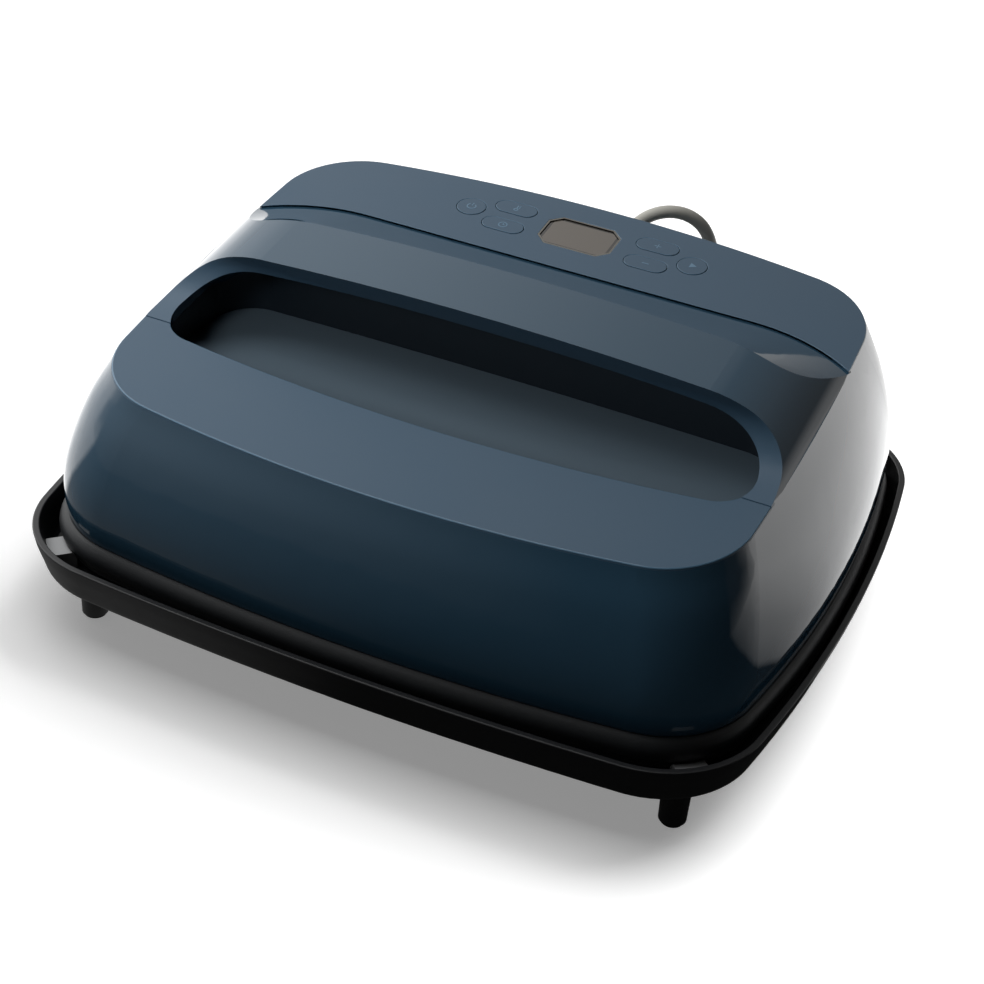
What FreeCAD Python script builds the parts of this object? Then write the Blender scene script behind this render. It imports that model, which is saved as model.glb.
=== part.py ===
"""Hand-held heat press for craft transfers, resting in its stand.

Millimetres. The origin is on the table under the middle of the stand, +X to the right,
+Y to the rear (the control deck's side) and +Z up. The top of the press lies in one
gently tilted plane, so its pieces are also described in the deck frame: u along X,
v up the slope to the rear, w square to the deck, with w = 0 on the matte panels.
"""
import FreeCAD, Part
import math
import os

V = FreeCAD.Vector

# ---- stand
RIM_Z = 50.0               # top of the tray's rim above the table
RIM_HALF_X = 178.6
RIM_HALF_Y = 152.5
RIM_BOW_FRONT = 1600.0     # radius of the long sides
RIM_BOW_SIDE = 720.0       # radius of the short sides
RIM_CORNER = 49.5
TRAY_WALL = 2.6
TRAY_FLOOR = 3.0
TRAY_BOTTOM_Z = 31.0       # RIM_Z plus the last drop of TRAY_OUTSIDE
TRAY_EDGE = 0.6
# the tray's outside, as drop below the rim and how far it has come in
TRAY_OUTSIDE = [(0.0, 0.0), (-4.0, 0.8), (-9.0, 2.3), (-14.0, 3.8), (-17.5, 5.0), (-19.0, 6.4)]
RIB_HEIGHT = 5.0
RIB_WIDTH = 3.0
LONG_RIB_Y = 58.0
LONG_RIB_HALF = 150.0
CROSS_RIB_X = 80.0
CROSS_RIB_HALF = 125.0
FOOT_X = 140.7
FOOT_Y = 112.5
FOOT_TOP_RADIUS = 6.8
FOOT_TIP_RADIUS = 6.0
FOOT_GUSSET = 24.0         # height of the foot's four fins
FOOT_FIN = 2.4             # their thickness
FOOT_FIN_REACH = 5.5       # how far they stand out under the tray
FOOT_BORE = 12.0
PAD_RADIUS = 5.0
PAD_THICK = 2.5
PAD_SOCKET = 1.0
LOCATOR_HEIGHT = 8.0
LOCATOR_LEG = 13.4
LOCATOR_GAP = 0.8          # round the lower housing as it drops in
REST_PAD_RADIUS = 13.0
REST_PAD_X = 104.0
REST_PAD_Y = 80.0
REST_GAP = 0.1             # between the discs and the plate standing on them

# ---- press, outside
SEAM_Z = 53.2              # where the shell meets the lower housing
SEAM_HALF_X = 168.3
SEAM_FRONT_Y = -138.5
SEAM_REAR_Y = 142.5
SEAM_BOW_FRONT = 930.0
SEAM_BOW_SIDE = 560.0
SEAM_CORNER = 44.5
TOP_BOW_FRONT = 680.0
TOP_BOW_SIDE = 1500.0
# the wall's lean, as height above the seam and how far it has come in
WALL_LEAN = [(0.0, 0.0), (19.0, -1.2), (44.0, 5.2), (63.0, 13.2), (79.4, 21.4), (90.0, 25.6), (108.0, 31.0)]
TOP_SHIFT = -5.6           # the form moves this far forward as it tilts into the deck plane
FULL_LEAN = 21.4           # the lean at which the top's own bows are reached
SHELL_WALL = 2.8
DECK_Z = 132.6             # height of the deck plane on the centre line, at y = 0
DECK_TILT = math.degrees(math.atan(0.114))
SKIRT_BOTTOM_Z = 38.0
# the skirt's rounded outside, as height above the seam and how far it has come in
SKIRT_PROFILE = [(-15.2, -0.6), (-11.0, -2.4), (-6.5, -4.0), (-3.2, -3.4), (-1.2, -2.2), (0.0, -0.4)]
SKIRT_WALL = 3.0
SEAM_GAP = 0.4
BOSS_RADIUS = 4.0
BOSS_BORE = 14.0           # depth of a screw's hole

# ---- matte panels on top
PANEL_RIM = 0.8            # thickness that shows at a panel's edge
PANEL_PLUG = 1.6           # deeper part that drops into the shell's pocket
PLUG_INSET = 4.5
PLUG_GAP = 0.25
TOP_SKIN = 3.2             # shell under the panels

# ---- grip: a bridge over the finger well, arched from one side wall to the other
GRIP_FRONT = -24.6         # the two creases of its glossy top, as v
GRIP_REAR = 11.4
ARCH_RISE = 26.0           # w of the arch's middle
ARCH_RADIUS = 1570.0       # its long top arc, and the arcs that turn down into the side walls
ARCH_CORNER = 55.0
ARCH_CORNER_U = 102.0      # u of those arcs' centres
GRIP_NOSE = 7.0            # thickness at the front crease
GRIP_THICK = 14.0          # thickness further back
GRIP_CHIN = 12.0           # length over which the underside drops to that
GRIP_BACK = 6.0            # rear wall of the space for the fingers
LEG_FRONT = -57.5          # the bridge's legs start here in the deck plane
# the legs' front side, as v before the front crease and w
LEG_FLARE = [(-32.4, 0.0), (-21.4, 1.2), (-12.4, 3.6), (-4.9, 8.6), (-1.0, 14.0), (0.0, 20.0)]
# the hollow behind the grip: a steep step, then a slope down to the deck, swept round both ends
VALLEY_STEP_W = 22.6
VALLEY_SAG = 1.2
VALLEY_DEPTH = 1.6
VALLEY_TURN_U = 97.0       # centres of the two turned ends
VALLEY_TURN_V = -22.0
VALLEY_SKIN = 2.4          # the slope's wall, measured down and forward
VALLEY_SKIN_V = 2.2
GRIP_SKIN = 3.4            # wall behind the finger space and over the hollow
GROOVE_UNDERCUT = 1.6

# ---- control deck
DECK_FRONT_Y = 60.5
LCD_Y = 89.0
LCD_HALF_X = 17.6
LCD_HALF_Y = 11.4
LCD_CHAMFER = 5.0
LCD_BEZEL = 0.9
LCD_DEEP = 0.7
LCD_PANE = 1.6
ROUND_KEY_X = 56.5
ROUND_KEY_Y = 89.7
ROUND_KEY_RADIUS = 7.0
PILL_X = 36.3
PILL_Y = 89.7
PILL_STEP = 8.0            # the two pills of a pair lie this far before and behind PILL_Y
PILL_HALF_X = 10.4
PILL_HALF_Y = 5.0
KEY_GAP = 0.3
KEY_PROUD = 0.15
KEY_TRAVEL = 0.8
KEY_FLANGE = 1.0           # thickness of the flange under the deck
KEY_FLANGE_REACH = 0.9
KEY_SLACK = 0.15           # between the flange and the deck
KEY_STEM_RADIUS = 1.8

# ---- finger opening and the well below it
WELL_HALF_X = 136.3
WELL_FRONT = -73.3
WELL_BOW_FRONT = 842.0
WELL_BOW_SIDE = 900.0
WELL_FRONT_CORNER = 17.0
WELL_BOW_REAR = 4000.0
WELL_REAR_CORNER = 20.0
WELL_WALL = 2.0
WELL_FLANGE = 6.0
WELL_FIT = 0.1
# the well's floor, as v and w; it climbs towards the front lip
WELL_FLOOR = [(-85.3, -4.0), (-69.3, -12.0), (-50.0, -18.5), (-22.0, -23.0), (6.0, -25.0), (30.0, -26.0)]

# ---- inside
PLATE_HALF_X = 152.4
PLATE_HALF_Y = 127.0
PLATE_BOW_FRONT = 940.0
PLATE_BOW_SIDE = 580.0
PLATE_CORNER = 32.0
PLATE_BOTTOM_Z = 36.0
PLATE_THICK = 7.0
PLATE_EDGE = 1.5
ELEMENT_RADIUS = 3.0
ELEMENT_GAP = 0.05
ELEMENT_INSET = 22.0
ELEMENT_LEGS_X = 16.0
ELEMENT_LEG_TOP = 62.0
ELEMENT_CORNER = 26.0
ELEMENT_BEND = 8.0         # radius where a leg turns up
ELEMENT_COVER = 0.2        # the rod lies this far below the casting's back
INSULATION_THICK = 5.0
INSULATION_GAP = 0.3
INSULATION_INSET = 3.0
WINDOW_HALF_X = 34.0       # openings for the element's legs and for the sensors
LEAD_WINDOW_HALF_Y = 11.0
LEAD_WINDOW_AHEAD = 4.0    # the leg window's middle lies this far before the legs
SENSOR_WINDOW_HALF_Y = 16.0
WINDOW_CORNER = 4.0
SHIELD_THICK = 0.8
SHIELD_LIP = 3.0
SHIELD_REACH = 2.5
WEB_TOP_Z = 53.8
WEB_THICK = 2.6
TONGUE_HEIGHT = 5.0
TONGUE_WALL = 1.8
TONGUE_GAP = 0.25
VENT_LENGTH = 46.0
VENT_WIDTH = 4.0
VENT_PITCH = 14.0
VENT_ROWS = 6
VENT_X = (-51.0, 85.0)
VENT_Y = -24.0
STANDOFF_X = 112.0
STANDOFF_Y = 84.0
STANDOFF_RADIUS = 4.0
PLATE_SCREW_DEPTH = 5.0
HOUSING_SCREW_X = 146.0
HOUSING_SCREW_Y = 80.0
HOUSING_SCREW_IN = 14.0    # the front and rear screws lie this far inside the seam
REAR_SCREW_X = 60.0
BOARD_THICK = 1.6
CONTROL_BOARD_HALF_X = 76.0
CONTROL_BOARD_HALF_Y = 20.0
CONTROL_BOARD_W = -11.6
CONTROL_BOARD_Y = 89.2
BOARD_POST_IN = 4.0        # posts and screws lie this far inside a board's edge
BOARD_POST_RADIUS = 3.4
BOARD_SCREW_RADIUS = 1.2
BOARD_SCREW_HEAD = 2.6
SWITCH_SIDE = 6.0
SWITCH_BODY = 3.4
SWITCH_PLUNGER = 0.9
POWER_BOARD_HALF_X = 48.0
POWER_BOARD_HALF_Y = 31.0
POWER_BOARD_CENTRE = (-50.0, 10.0)
POWER_BOARD_LIFT = 8.0
POWER_BOARD_SCREW = 7.0
SCREW_RADIUS = 1.5
SCREW_HEAD = 3.0
HEAD_THICK = 1.5
SCREW_SLACK = 0.05

# ---- cord
CORD_RADIUS = 3.25
COIL_CENTRE = (4.0, 235.3)
COIL_TURNS_WIDE = 3
COIL_LAYERS = 2
COIL_MIDDLE = 38.5
CORD_ROUTE = [
    (0.0, 148.9, 103.2), (0.2, 152.7, 113.0), (5.4, 155.6, 123.3), (14.5, 160.6, 129.3),
    (24.9, 166.4, 129.3), (34.0, 171.4, 123.3), (39.2, 174.3, 113.0), (41.0, 175.6, 100.5),
    (41.9, 176.9, 86.0), (42.2, 178.2, 71.5), (41.9, 180.0, 56.5), (41.6, 182.8, 41.5),
    (41.8, 186.6, 27.5), (42.5, 192.4, 14.8), (43.9, 201.8, 6.2), (45.9, 214.5, 3.7),
    (48.6, 229.0, 3.4),
]
TAIL_ROUTE = [(-39.5, 246.8, 9.8), (-43.4, 232.4, 10.6), (-49.6, 218.8, 11.4), (-58.8, 207.0, 12.0)]
RELIEF_LENGTH = 24.0
RELIEF_BASE_RADIUS = 5.8
RELIEF_TIP_RADIUS = 4.4
HOOD_TOP = 11.0            # the hood ends this far up the relief
HOOD_WALL = 2.2
HOOD_DROP = 24.0           # its tapered foot runs this far down the rear wall
HOOD_FOOT_RADIUS = 2.5
RELIEF_ROOT = 6.0          # the sleeve's length inside the shell
RELIEF_RINGS = 4
RELIEF_RING_PITCH = 2.8
PLUG_LENGTH = 33.0
PLUG_HALF = 12.0
BLADE_LENGTH = 17.0

BIG = 600.0


# ======================================================================== outlines
def tangent_circle(centre_a, radius_a, centre_b, radius_b, radius, side_y):
    """Centre of a circle of this radius that touches two larger circles from inside."""
    reach_a = radius_a - radius
    reach_b = radius_b - radius
    apart = centre_b - centre_a
    along = (reach_a ** 2 - reach_b ** 2 + apart.Length ** 2) / (2 * apart.Length)
    across = math.sqrt(reach_a ** 2 - along ** 2)
    unit = V(apart).normalize()
    square = V(-unit.y, unit.x, 0)
    foot = centre_a + unit * along
    both = [foot + square * across, foot - square * across]
    return max(both, key=lambda p: p.x + side_y * p.y)


def corner_points(long_centre, long_radius, side_centre, side_radius, radius, side_y):
    """Where a corner arc leaves the long side, its middle, and where it joins the short side."""
    centre = tangent_circle(long_centre, long_radius, side_centre, side_radius, radius, side_y)
    to_long = (centre - long_centre).normalize()
    to_side = (centre - side_centre).normalize()
    middle = (to_long + to_side).normalize()
    return centre + to_long * radius, centre + middle * radius, centre + to_side * radius


def flip(point):
    return V(-point.x, point.y, point.z)


def bowed_outline(half_x, front_y, rear_y, bows, corners, z):
    """Closed outline of four long arcs and four corner arcs, mirrored about x = 0.

    bows are the radii of the front, the rear and the sides, corners those in front and behind.
    """
    front_bow, rear_bow, side_bow = bows
    front_centre = V(0, front_y + front_bow, 0)
    rear_centre = V(0, rear_y - rear_bow, 0)
    side_centre = V(half_x - side_bow, (front_y + rear_y) / 2, 0)
    f1, f2, f3 = corner_points(front_centre, front_bow, side_centre, side_bow, corners[0], -1)
    r1, r2, r3 = corner_points(rear_centre, rear_bow, side_centre, side_bow, corners[1], 1)
    side = V(half_x, side_centre.y, 0)
    arcs = [
        (flip(f1), V(0, front_y, 0), f1), (f1, f2, f3), (f3, side, r3), (r3, r2, r1),
        (r1, V(0, rear_y, 0), flip(r1)), (flip(r1), flip(r2), flip(r3)),
        (flip(r3), flip(side), flip(f3)), (flip(f3), flip(f2), flip(f1)),
    ]
    lift = V(0, 0, z)
    edges = [Part.Arc(a + lift, b + lift, c + lift).toShape() for a, b, c in arcs]
    return Part.Wire(edges)


def prism(wire, z_low, z_high):
    """Upright solid over a flat closed wire drawn at z = 0."""
    face = Part.Face(wire)
    face.translate(V(0, 0, z_low))
    return face.extrude(V(0, 0, z_high - z_low))


def rounded_box(half_x, half_y, radius, z_low, z_high, centre=(0.0, 0.0)):
    box = Part.makeBox(2 * half_x, 2 * half_y, z_high - z_low,
                       V(centre[0] - half_x, centre[1] - half_y, z_low))
    upright = [e for e in box.Edges if abs(e.tangentAt(e.FirstParameter).z) > 0.9]
    return box.makeFillet(radius, upright)


def cylinder(x, y, z_low, z_high, radius):
    return Part.makeCylinder(radius, z_high - z_low, V(x, y, z_low))


def fuse_all(shapes):
    """One shape of many, with the seams between them cleaned away."""
    first = shapes[0]
    return first.fuse(shapes[1:]).removeSplitter()


def group(shapes):
    return Part.makeCompound(shapes)


def four_corners(x, y):
    return [(sx * x, sy * y) for sx in (-1, 1) for sy in (-1, 1)]


# ======================================================================== deck frame
def to_deck(shape):
    """Turn a shape drawn at u, v, w into its place on the tilted deck."""
    placed = shape.copy()
    placed.rotate(V(0, 0, 0), V(1, 0, 0), DECK_TILT)
    placed.translate(V(0, 0, DECK_Z))
    return placed


def deck_slab(w_low, w_high):
    return to_deck(Part.makeBox(2 * BIG, 2 * BIG, w_high - w_low, V(-BIG, -BIG, w_low)))


def deck_height(y, w=0.0):
    """World height of the plane w, above the point y of the table."""
    tilt = math.radians(DECK_TILT)
    return DECK_Z + y * math.tan(tilt) + w / math.cos(tilt)


def along_u(face, u_low, u_high):
    """Block with a profile drawn at u = 0 in v and w, from one u to another."""
    start = face.copy()
    start.translate(V(u_low, 0, 0))
    return start.extrude(V(u_high - u_low, 0, 0))


# ======================================================================== outer form
def lean_mix(lean, seam_bow, top_bow):
    """Bow radius part of the way up the wall: the curvature changes evenly with the lean."""
    share = max(0.0, min(1.0, lean / FULL_LEAN))
    return 1.0 / ((1.0 - share) / seam_bow + share / top_bow)


def body_section(height, lean, inward):
    """Level outline at the seam, and further up one that tilts evenly into the deck plane."""
    share = max(0.0, min(1.0, height / (DECK_Z - SEAM_Z))) ** 2
    front_bow = lean_mix(lean, SEAM_BOW_FRONT, TOP_BOW_FRONT)
    side_bow = lean_mix(lean, SEAM_BOW_SIDE, TOP_BOW_SIDE)
    inset = lean + inward
    corner = SEAM_CORNER - 0.15 * lean - inward
    outline = bowed_outline(SEAM_HALF_X - inset, SEAM_FRONT_Y + inset, SEAM_REAR_Y - inset,
                            (front_bow, front_bow, side_bow), (corner, corner), 0.0)
    outline.rotate(V(0, 0, 0), V(1, 0, 0), DECK_TILT * share)
    outline.translate(V(0, TOP_SHIFT * share, SEAM_Z + height))
    return outline


def body_form(inward=0.0):
    """The press's outer form, or the same form moved in by a wall."""
    sections = [body_section(height, lean, inward) for height, lean in WALL_LEAN]
    return Part.makeLoft(sections, True, False)


def deck_front_plan(back):
    """Plan of all that lies before the control deck, whose front edge turns forward at both ends."""
    radius = DECK_FRONT_Y + back - VALLEY_TURN_V
    centre = V(VALLEY_TURN_U, VALLEY_TURN_V, 0)
    s = math.sqrt(0.5)
    rear = centre + V(0, radius, 0)
    turn = centre + V(radius * s, radius * s, 0)
    side = centre + V(radius, 0, 0)
    near = V(side.x, -BIG, 0)
    edges = [
        Part.makeLine(flip(rear), rear), Part.Arc(rear, turn, side).toShape(), Part.makeLine(side, near),
        Part.makeLine(near, flip(near)), Part.makeLine(flip(near), flip(side)),
        Part.Arc(flip(side), flip(turn), flip(rear)).toShape(),
    ]
    return Part.Wire(edges)


def in_front_of_deck(back=0.0):
    """Everything before the control deck."""
    return to_deck(prism(deck_front_plan(back), -BIG, BIG))


def opening_wire(outward=0.0):
    """Plan of the finger opening. Its rear side is the rear wall of the space for the fingers."""
    return bowed_outline(WELL_HALF_X + outward, WELL_FRONT - outward, GRIP_BACK + outward,
                         (WELL_BOW_FRONT, WELL_BOW_REAR, WELL_BOW_SIDE),
                         (WELL_FRONT_CORNER + outward, WELL_REAR_CORNER + outward), 0.0)


# ======================================================================== grip
def arch_wire(v, inward, w_low):
    """Section square to v of all that lies under the arch, or under its inner side."""
    top = ARCH_RADIUS - inward
    corner = ARCH_CORNER - inward
    middle = ARCH_RISE - ARCH_RADIUS
    u = ARCH_CORNER_U
    w = middle + math.sqrt((ARCH_RADIUS - ARCH_CORNER) ** 2 - u ** 2)
    start = math.atan2(w - middle, u)
    end = math.asin((w_low - w) / corner)

    def on_corner(angle):
        return V(u + corner * math.cos(angle), v, w + corner * math.sin(angle))

    join = on_corner(start)
    half = on_corner((start + end) / 2)
    foot = on_corner(end)
    crown = V(0, v, middle + top)
    edges = [
        Part.Arc(flip(join), crown, join).toShape(), Part.Arc(join, half, foot).toShape(),
        Part.makeLine(foot, flip(foot)), Part.Arc(flip(foot), flip(half), flip(join)).toShape(),
    ]
    return Part.Wire(edges)


def arch_block(inward, v_low, v_high, w_low):
    face = Part.Face(arch_wire(v_low, inward, w_low))
    return to_deck(face.extrude(V(0, v_high - v_low, 0)))


def finger_space():
    """Room under the arch for the fingers: thin at the nose, then the grip's full thickness."""
    low = -PANEL_RIM - TOP_SKIN - 2.0
    chin = GRIP_FRONT + GRIP_CHIN
    sections = [arch_wire(v, inward, low) for v, inward in
                [(WELL_FRONT - 10.0, GRIP_NOSE), (GRIP_FRONT, GRIP_NOSE), (chin, GRIP_THICK),
                 (GRIP_BACK + 20.0, GRIP_THICK)]]
    room = to_deck(Part.makeLoft(sections, True, True))
    return room.common(prism(opening_wire(), 0.0, 3 * DECK_Z))


def before_legs():
    """Free space before the grip: above the lip, then up the flared front of both legs."""
    curve = Part.BSplineCurve()
    curve.interpolate([V(0, GRIP_FRONT + v, w) for v, w in LEG_FLARE])
    start = V(0, GRIP_FRONT + LEG_FLARE[0][0], LEG_FLARE[0][1])
    end = V(0, GRIP_FRONT, LEG_FLARE[-1][1])
    points = [end, V(0, GRIP_FRONT, 60), V(0, LEG_FRONT - 60, 60), V(0, LEG_FRONT - 60, -PANEL_RIM),
              V(0, LEG_FRONT, -PANEL_RIM), start]
    lines = [Part.makeLine(a, b) for a, b in zip(points, points[1:])]
    face = Part.Face(Part.Wire([curve.toShape()] + lines))
    return to_deck(along_u(face, -BIG, BIG))


def valley_space():
    """Free space behind the grip: one profile, run straight and then turned about both ends."""
    rear = DECK_FRONT_Y + GROOVE_UNDERCUT
    step = V(0, GRIP_REAR, VALLEY_STEP_W)
    floor = V(0, rear, -VALLEY_DEPTH)
    sag = (step + floor) * 0.5 - V(0, 0, VALLEY_SAG)
    high_rear = V(0, rear, 60)
    high = V(0, GRIP_REAR, 60)
    edges = [Part.Arc(step, sag, floor).toShape(), Part.makeLine(floor, high_rear),
             Part.makeLine(high_rear, high), Part.makeLine(high, step)]
    face = Part.Face(Part.Wire(edges))
    straight = along_u(face, -VALLEY_TURN_U, VALLEY_TURN_U)
    face.translate(V(VALLEY_TURN_U, 0, 0))
    right = face.revolve(V(VALLEY_TURN_U, VALLEY_TURN_V, 0), V(0, 0, 1), -90)
    left = right.mirror(V(0, 0, 0), V(1, 0, 0))
    return to_deck(straight.fuse([right, left]).removeSplitter())


def grip_bridge(form, valley):
    """The grip and its two legs, still solid behind the space for the fingers."""
    low = -PANEL_RIM - TOP_SKIN
    block = arch_block(0.0, LEG_FRONT - 2.0, DECK_FRONT_Y + 6.0, low)
    block = block.common(form).common(in_front_of_deck(GROOVE_UNDERCUT))
    return block.cut([before_legs(), valley, finger_space()])


def bridge_hollow(valley):
    """Space inside the mould behind the finger space, one wall below the slope."""
    low = -PANEL_RIM - TOP_SKIN - 1.0
    front = GRIP_BACK + GRIP_SKIN
    room = arch_block(GRIP_SKIN, front, DECK_FRONT_Y, low).common(body_form(SHELL_WALL))
    lower = valley.copy()
    lower.translate(V(0, -VALLEY_SKIN_V, -VALLEY_SKIN))
    return room.cut(lower)


# ======================================================================== outer shell
def shell_top_cut():
    """What lies above the shell's own top face: the panels' thickness, then free air."""
    return deck_slab(-PANEL_RIM, BIG)


def deck_plug_plan(gap):
    """Part of the deck panel that drops into the shell's pocket, behind the groove."""
    low = V(-BIG, DECK_FRONT_Y + PLUG_INSET - gap, 0)
    return Part.makeBox(2 * BIG, BIG, 3 * DECK_Z, low)


def lip_plug_plan(gap):
    """Part of the grip panel that drops into its pocket, in front of the opening."""
    rear = WELL_FRONT - PLUG_INSET + gap
    return Part.makeBox(2 * BIG, BIG, 3 * DECK_Z, V(-BIG, rear - BIG, 0))


def plug_form(plan, gap):
    slab = deck_slab(-PANEL_RIM - PANEL_PLUG - gap, -PANEL_RIM + gap)
    return body_form(PLUG_INSET - gap).common(slab).common(plan)


def control_aperture():
    """Way through the shell for the keys and the display, down to the control board."""
    half_x = CONTROL_BOARD_HALF_X - BOARD_POST_IN - BOARD_POST_RADIUS - 0.6
    half_y = CONTROL_BOARD_HALF_Y - 1.0
    way = rounded_box(half_x, half_y, 6.0, 0.0, 3 * DECK_Z, (0.0, CONTROL_BOARD_Y))
    return way.common(deck_slab(-BIG, 0.0))


def outer_shell():
    """Gloss outer shell: side walls and the grip in one moulding, open below."""
    form = body_form()
    hollow = body_form(SHELL_WALL).common(deck_slab(-BIG, -PANEL_RIM - TOP_SKIN))
    valley = valley_space()
    opening = prism(opening_wire(), 0.0, 3 * DECK_Z)
    walls = form.cut(shell_top_cut()).cut([hollow, opening, valley])
    shell = walls.fuse(grip_bridge(form, valley)).cut(bridge_hollow(valley)).removeSplitter()
    shell = shell.cut(plug_form(deck_plug_plan(PLUG_GAP), PLUG_GAP))
    shell = shell.cut(plug_form(lip_plug_plan(PLUG_GAP), PLUG_GAP))
    shell = shell.cut(control_aperture())
    seam_step = Part.makeBox(2 * BIG, 2 * BIG, SEAM_GAP, V(-BIG, -BIG, SEAM_Z))
    bosses = [shell_boss(x, y) for x, y in screw_places()]
    shell = shell.cut(seam_step).fuse(bosses + board_posts() + [relief_hood()])
    return shell.cut(relief_bore())


def screw_places():
    """Seven places where the lower housing is screwed up into the shell's bosses."""
    rear_y = SEAM_REAR_Y - HOUSING_SCREW_IN
    middle = [(0.0, SEAM_FRONT_Y + HOUSING_SCREW_IN), (-REAR_SCREW_X, rear_y), (REAR_SCREW_X, rear_y)]
    return four_corners(HOUSING_SCREW_X, HOUSING_SCREW_Y) + middle


def shell_boss(x, y):
    """Screw boss that hangs from the shell's top and runs into the leaning wall."""
    top = deck_height(y, -PANEL_RIM - TOP_SKIN) + 0.2
    low = WEB_TOP_Z + 0.05
    post = cylinder(x, y, low, top, BOSS_RADIUS)
    bore = cylinder(x, y, low, low + BOSS_BORE, SCREW_RADIUS)
    return post.common(body_form(SHELL_WALL * 0.5)).cut(bore)


# ======================================================================== matte panels
def grip_panel():
    """Matte frame before the finger opening: a broad lip with two arms that end at the grip's legs."""
    behind = to_deck(Part.makeBox(2 * BIG, BIG, 20.0, V(-BIG, LEG_FRONT - PLUG_GAP, -10.0)))
    plate = body_form().common(deck_slab(-PANEL_RIM, 0.0)).cut(behind)
    plug = plug_form(lip_plug_plan(0.0), 0.0)
    panel = plate.cut(prism(opening_wire(), 0.0, 3 * DECK_Z))
    return panel.fuse(plug).removeSplitter()


def control_deck():
    """Matte panel behind the groove, with the display window and six key holes."""
    plate = body_form().common(deck_slab(-PANEL_RIM, 0.0)).cut(in_front_of_deck())
    plug = plug_form(deck_plug_plan(0.0), 0.0)
    panel = plate.fuse(plug).removeSplitter()
    panel = panel.cut(display_hole(LCD_BEZEL))
    for key in KEYS:
        panel = panel.cut(key_column(key, KEY_GAP, -10.0, 10.0))
    return panel


# ======================================================================== display
def display_outline(outward):
    """Window with cut-off corners, in the deck frame."""
    x = LCD_HALF_X + outward
    y = LCD_HALF_Y + outward
    c = LCD_CHAMFER + outward * 0.41
    points = [(-x + c, -y), (x - c, -y), (x, -y + c), (x, y - c),
              (x - c, y), (-x + c, y), (-x, y - c), (-x, -y + c)]
    points.append(points[0])
    return Part.makePolygon([V(u, v + LCD_Y, 0) for u, v in points])


def display_hole(outward):
    hole = prism(display_outline(outward), -12.0, 12.0)
    return to_deck(hole)


def lcd_bezel():
    """Thin bright frame pressed into the deck round the display window."""
    outer = prism(display_outline(LCD_BEZEL - 0.05), -PANEL_RIM - PANEL_PLUG, -0.1)
    inner = prism(display_outline(0.0), -PANEL_RIM - PANEL_PLUG, 0.0)
    return to_deck(outer.cut(inner))


def lcd_window():
    """Tinted pane set a little below the deck, inside the bezel."""
    pane = prism(display_outline(-0.05), -LCD_DEEP - LCD_PANE, -LCD_DEEP)
    top = [e for e in pane.Edges if abs(e.BoundBox.ZMin + LCD_DEEP) < 1e-6]
    return to_deck(pane.makeChamfer(0.2, top))


def lcd_module():
    """Glass sandwich of the display in its frame, on top of the control board."""
    low = CONTROL_BOARD_W + BOARD_THICK + 0.05
    top = -LCD_DEEP - LCD_PANE - 0.3
    frame = rounded_box(LCD_HALF_X + 3.0, LCD_HALF_Y + 3.0, 1.0, low, top, (0.0, LCD_Y))
    recess = rounded_box(LCD_HALF_X, LCD_HALF_Y, 0.5, top - 0.4, top, (0.0, LCD_Y))
    return to_deck(frame.cut(recess))


# ======================================================================== keys
KEYS = {
    "power_button": (-ROUND_KEY_X, ROUND_KEY_Y, "round"),
    "temperature_button": (-PILL_X, PILL_Y + PILL_STEP, "pill"),
    "timer_button": (-PILL_X, PILL_Y - PILL_STEP, "pill"),
    "plus_button": (PILL_X, PILL_Y + PILL_STEP, "pill"),
    "minus_button": (PILL_X, PILL_Y - PILL_STEP, "pill"),
    "start_button": (ROUND_KEY_X, ROUND_KEY_Y, "round"),
}


def key_column(key, outward, w_low, w_high):
    """Upright column of one key's outline, in its place on the deck."""
    u, v, kind = KEYS[key]
    if kind == "round":
        return to_deck(cylinder(u, v, w_low, w_high, ROUND_KEY_RADIUS + outward))
    half_x = PILL_HALF_X + outward
    half_y = PILL_HALF_Y + outward
    return to_deck(rounded_box(half_x, half_y, half_y - 0.01, w_low, w_high, (u, v)))


def key_cap(key):
    """Key with a flange that keeps it under the deck and a stem down to its switch."""
    u, v, _ = KEYS[key]
    under = -PANEL_RIM - PANEL_PLUG
    cap = key_column(key, 0.0, under - KEY_FLANGE, KEY_PROUD)
    flange = key_column(key, KEY_FLANGE_REACH, under - KEY_FLANGE - KEY_SLACK, under - KEY_SLACK)
    stem = to_deck(cylinder(u, v, switch_top() + 0.1 + KEY_TRAVEL, under - KEY_FLANGE, KEY_STEM_RADIUS))
    return fuse_all([cap, flange, stem])


def switch_top():
    return CONTROL_BOARD_W + BOARD_THICK + SWITCH_BODY + SWITCH_PLUNGER


def tact_switches():
    """Six small push switches under the keys, soldered to the control board."""
    low = CONTROL_BOARD_W + BOARD_THICK
    switches = []
    for u, v, _ in KEYS.values():
        body = rounded_box(SWITCH_SIDE / 2, SWITCH_SIDE / 2, 0.5, low, low + SWITCH_BODY, (u, v))
        plunger = cylinder(u, v, low + SWITCH_BODY, switch_top(), KEY_STEM_RADIUS - 0.1)
        switches.append(to_deck(body.fuse(plunger)))
    return group(switches)


# ======================================================================== control board
def board_screw_places():
    x = CONTROL_BOARD_HALF_X - BOARD_POST_IN
    return [(-x, CONTROL_BOARD_Y), (x, CONTROL_BOARD_Y)]


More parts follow.
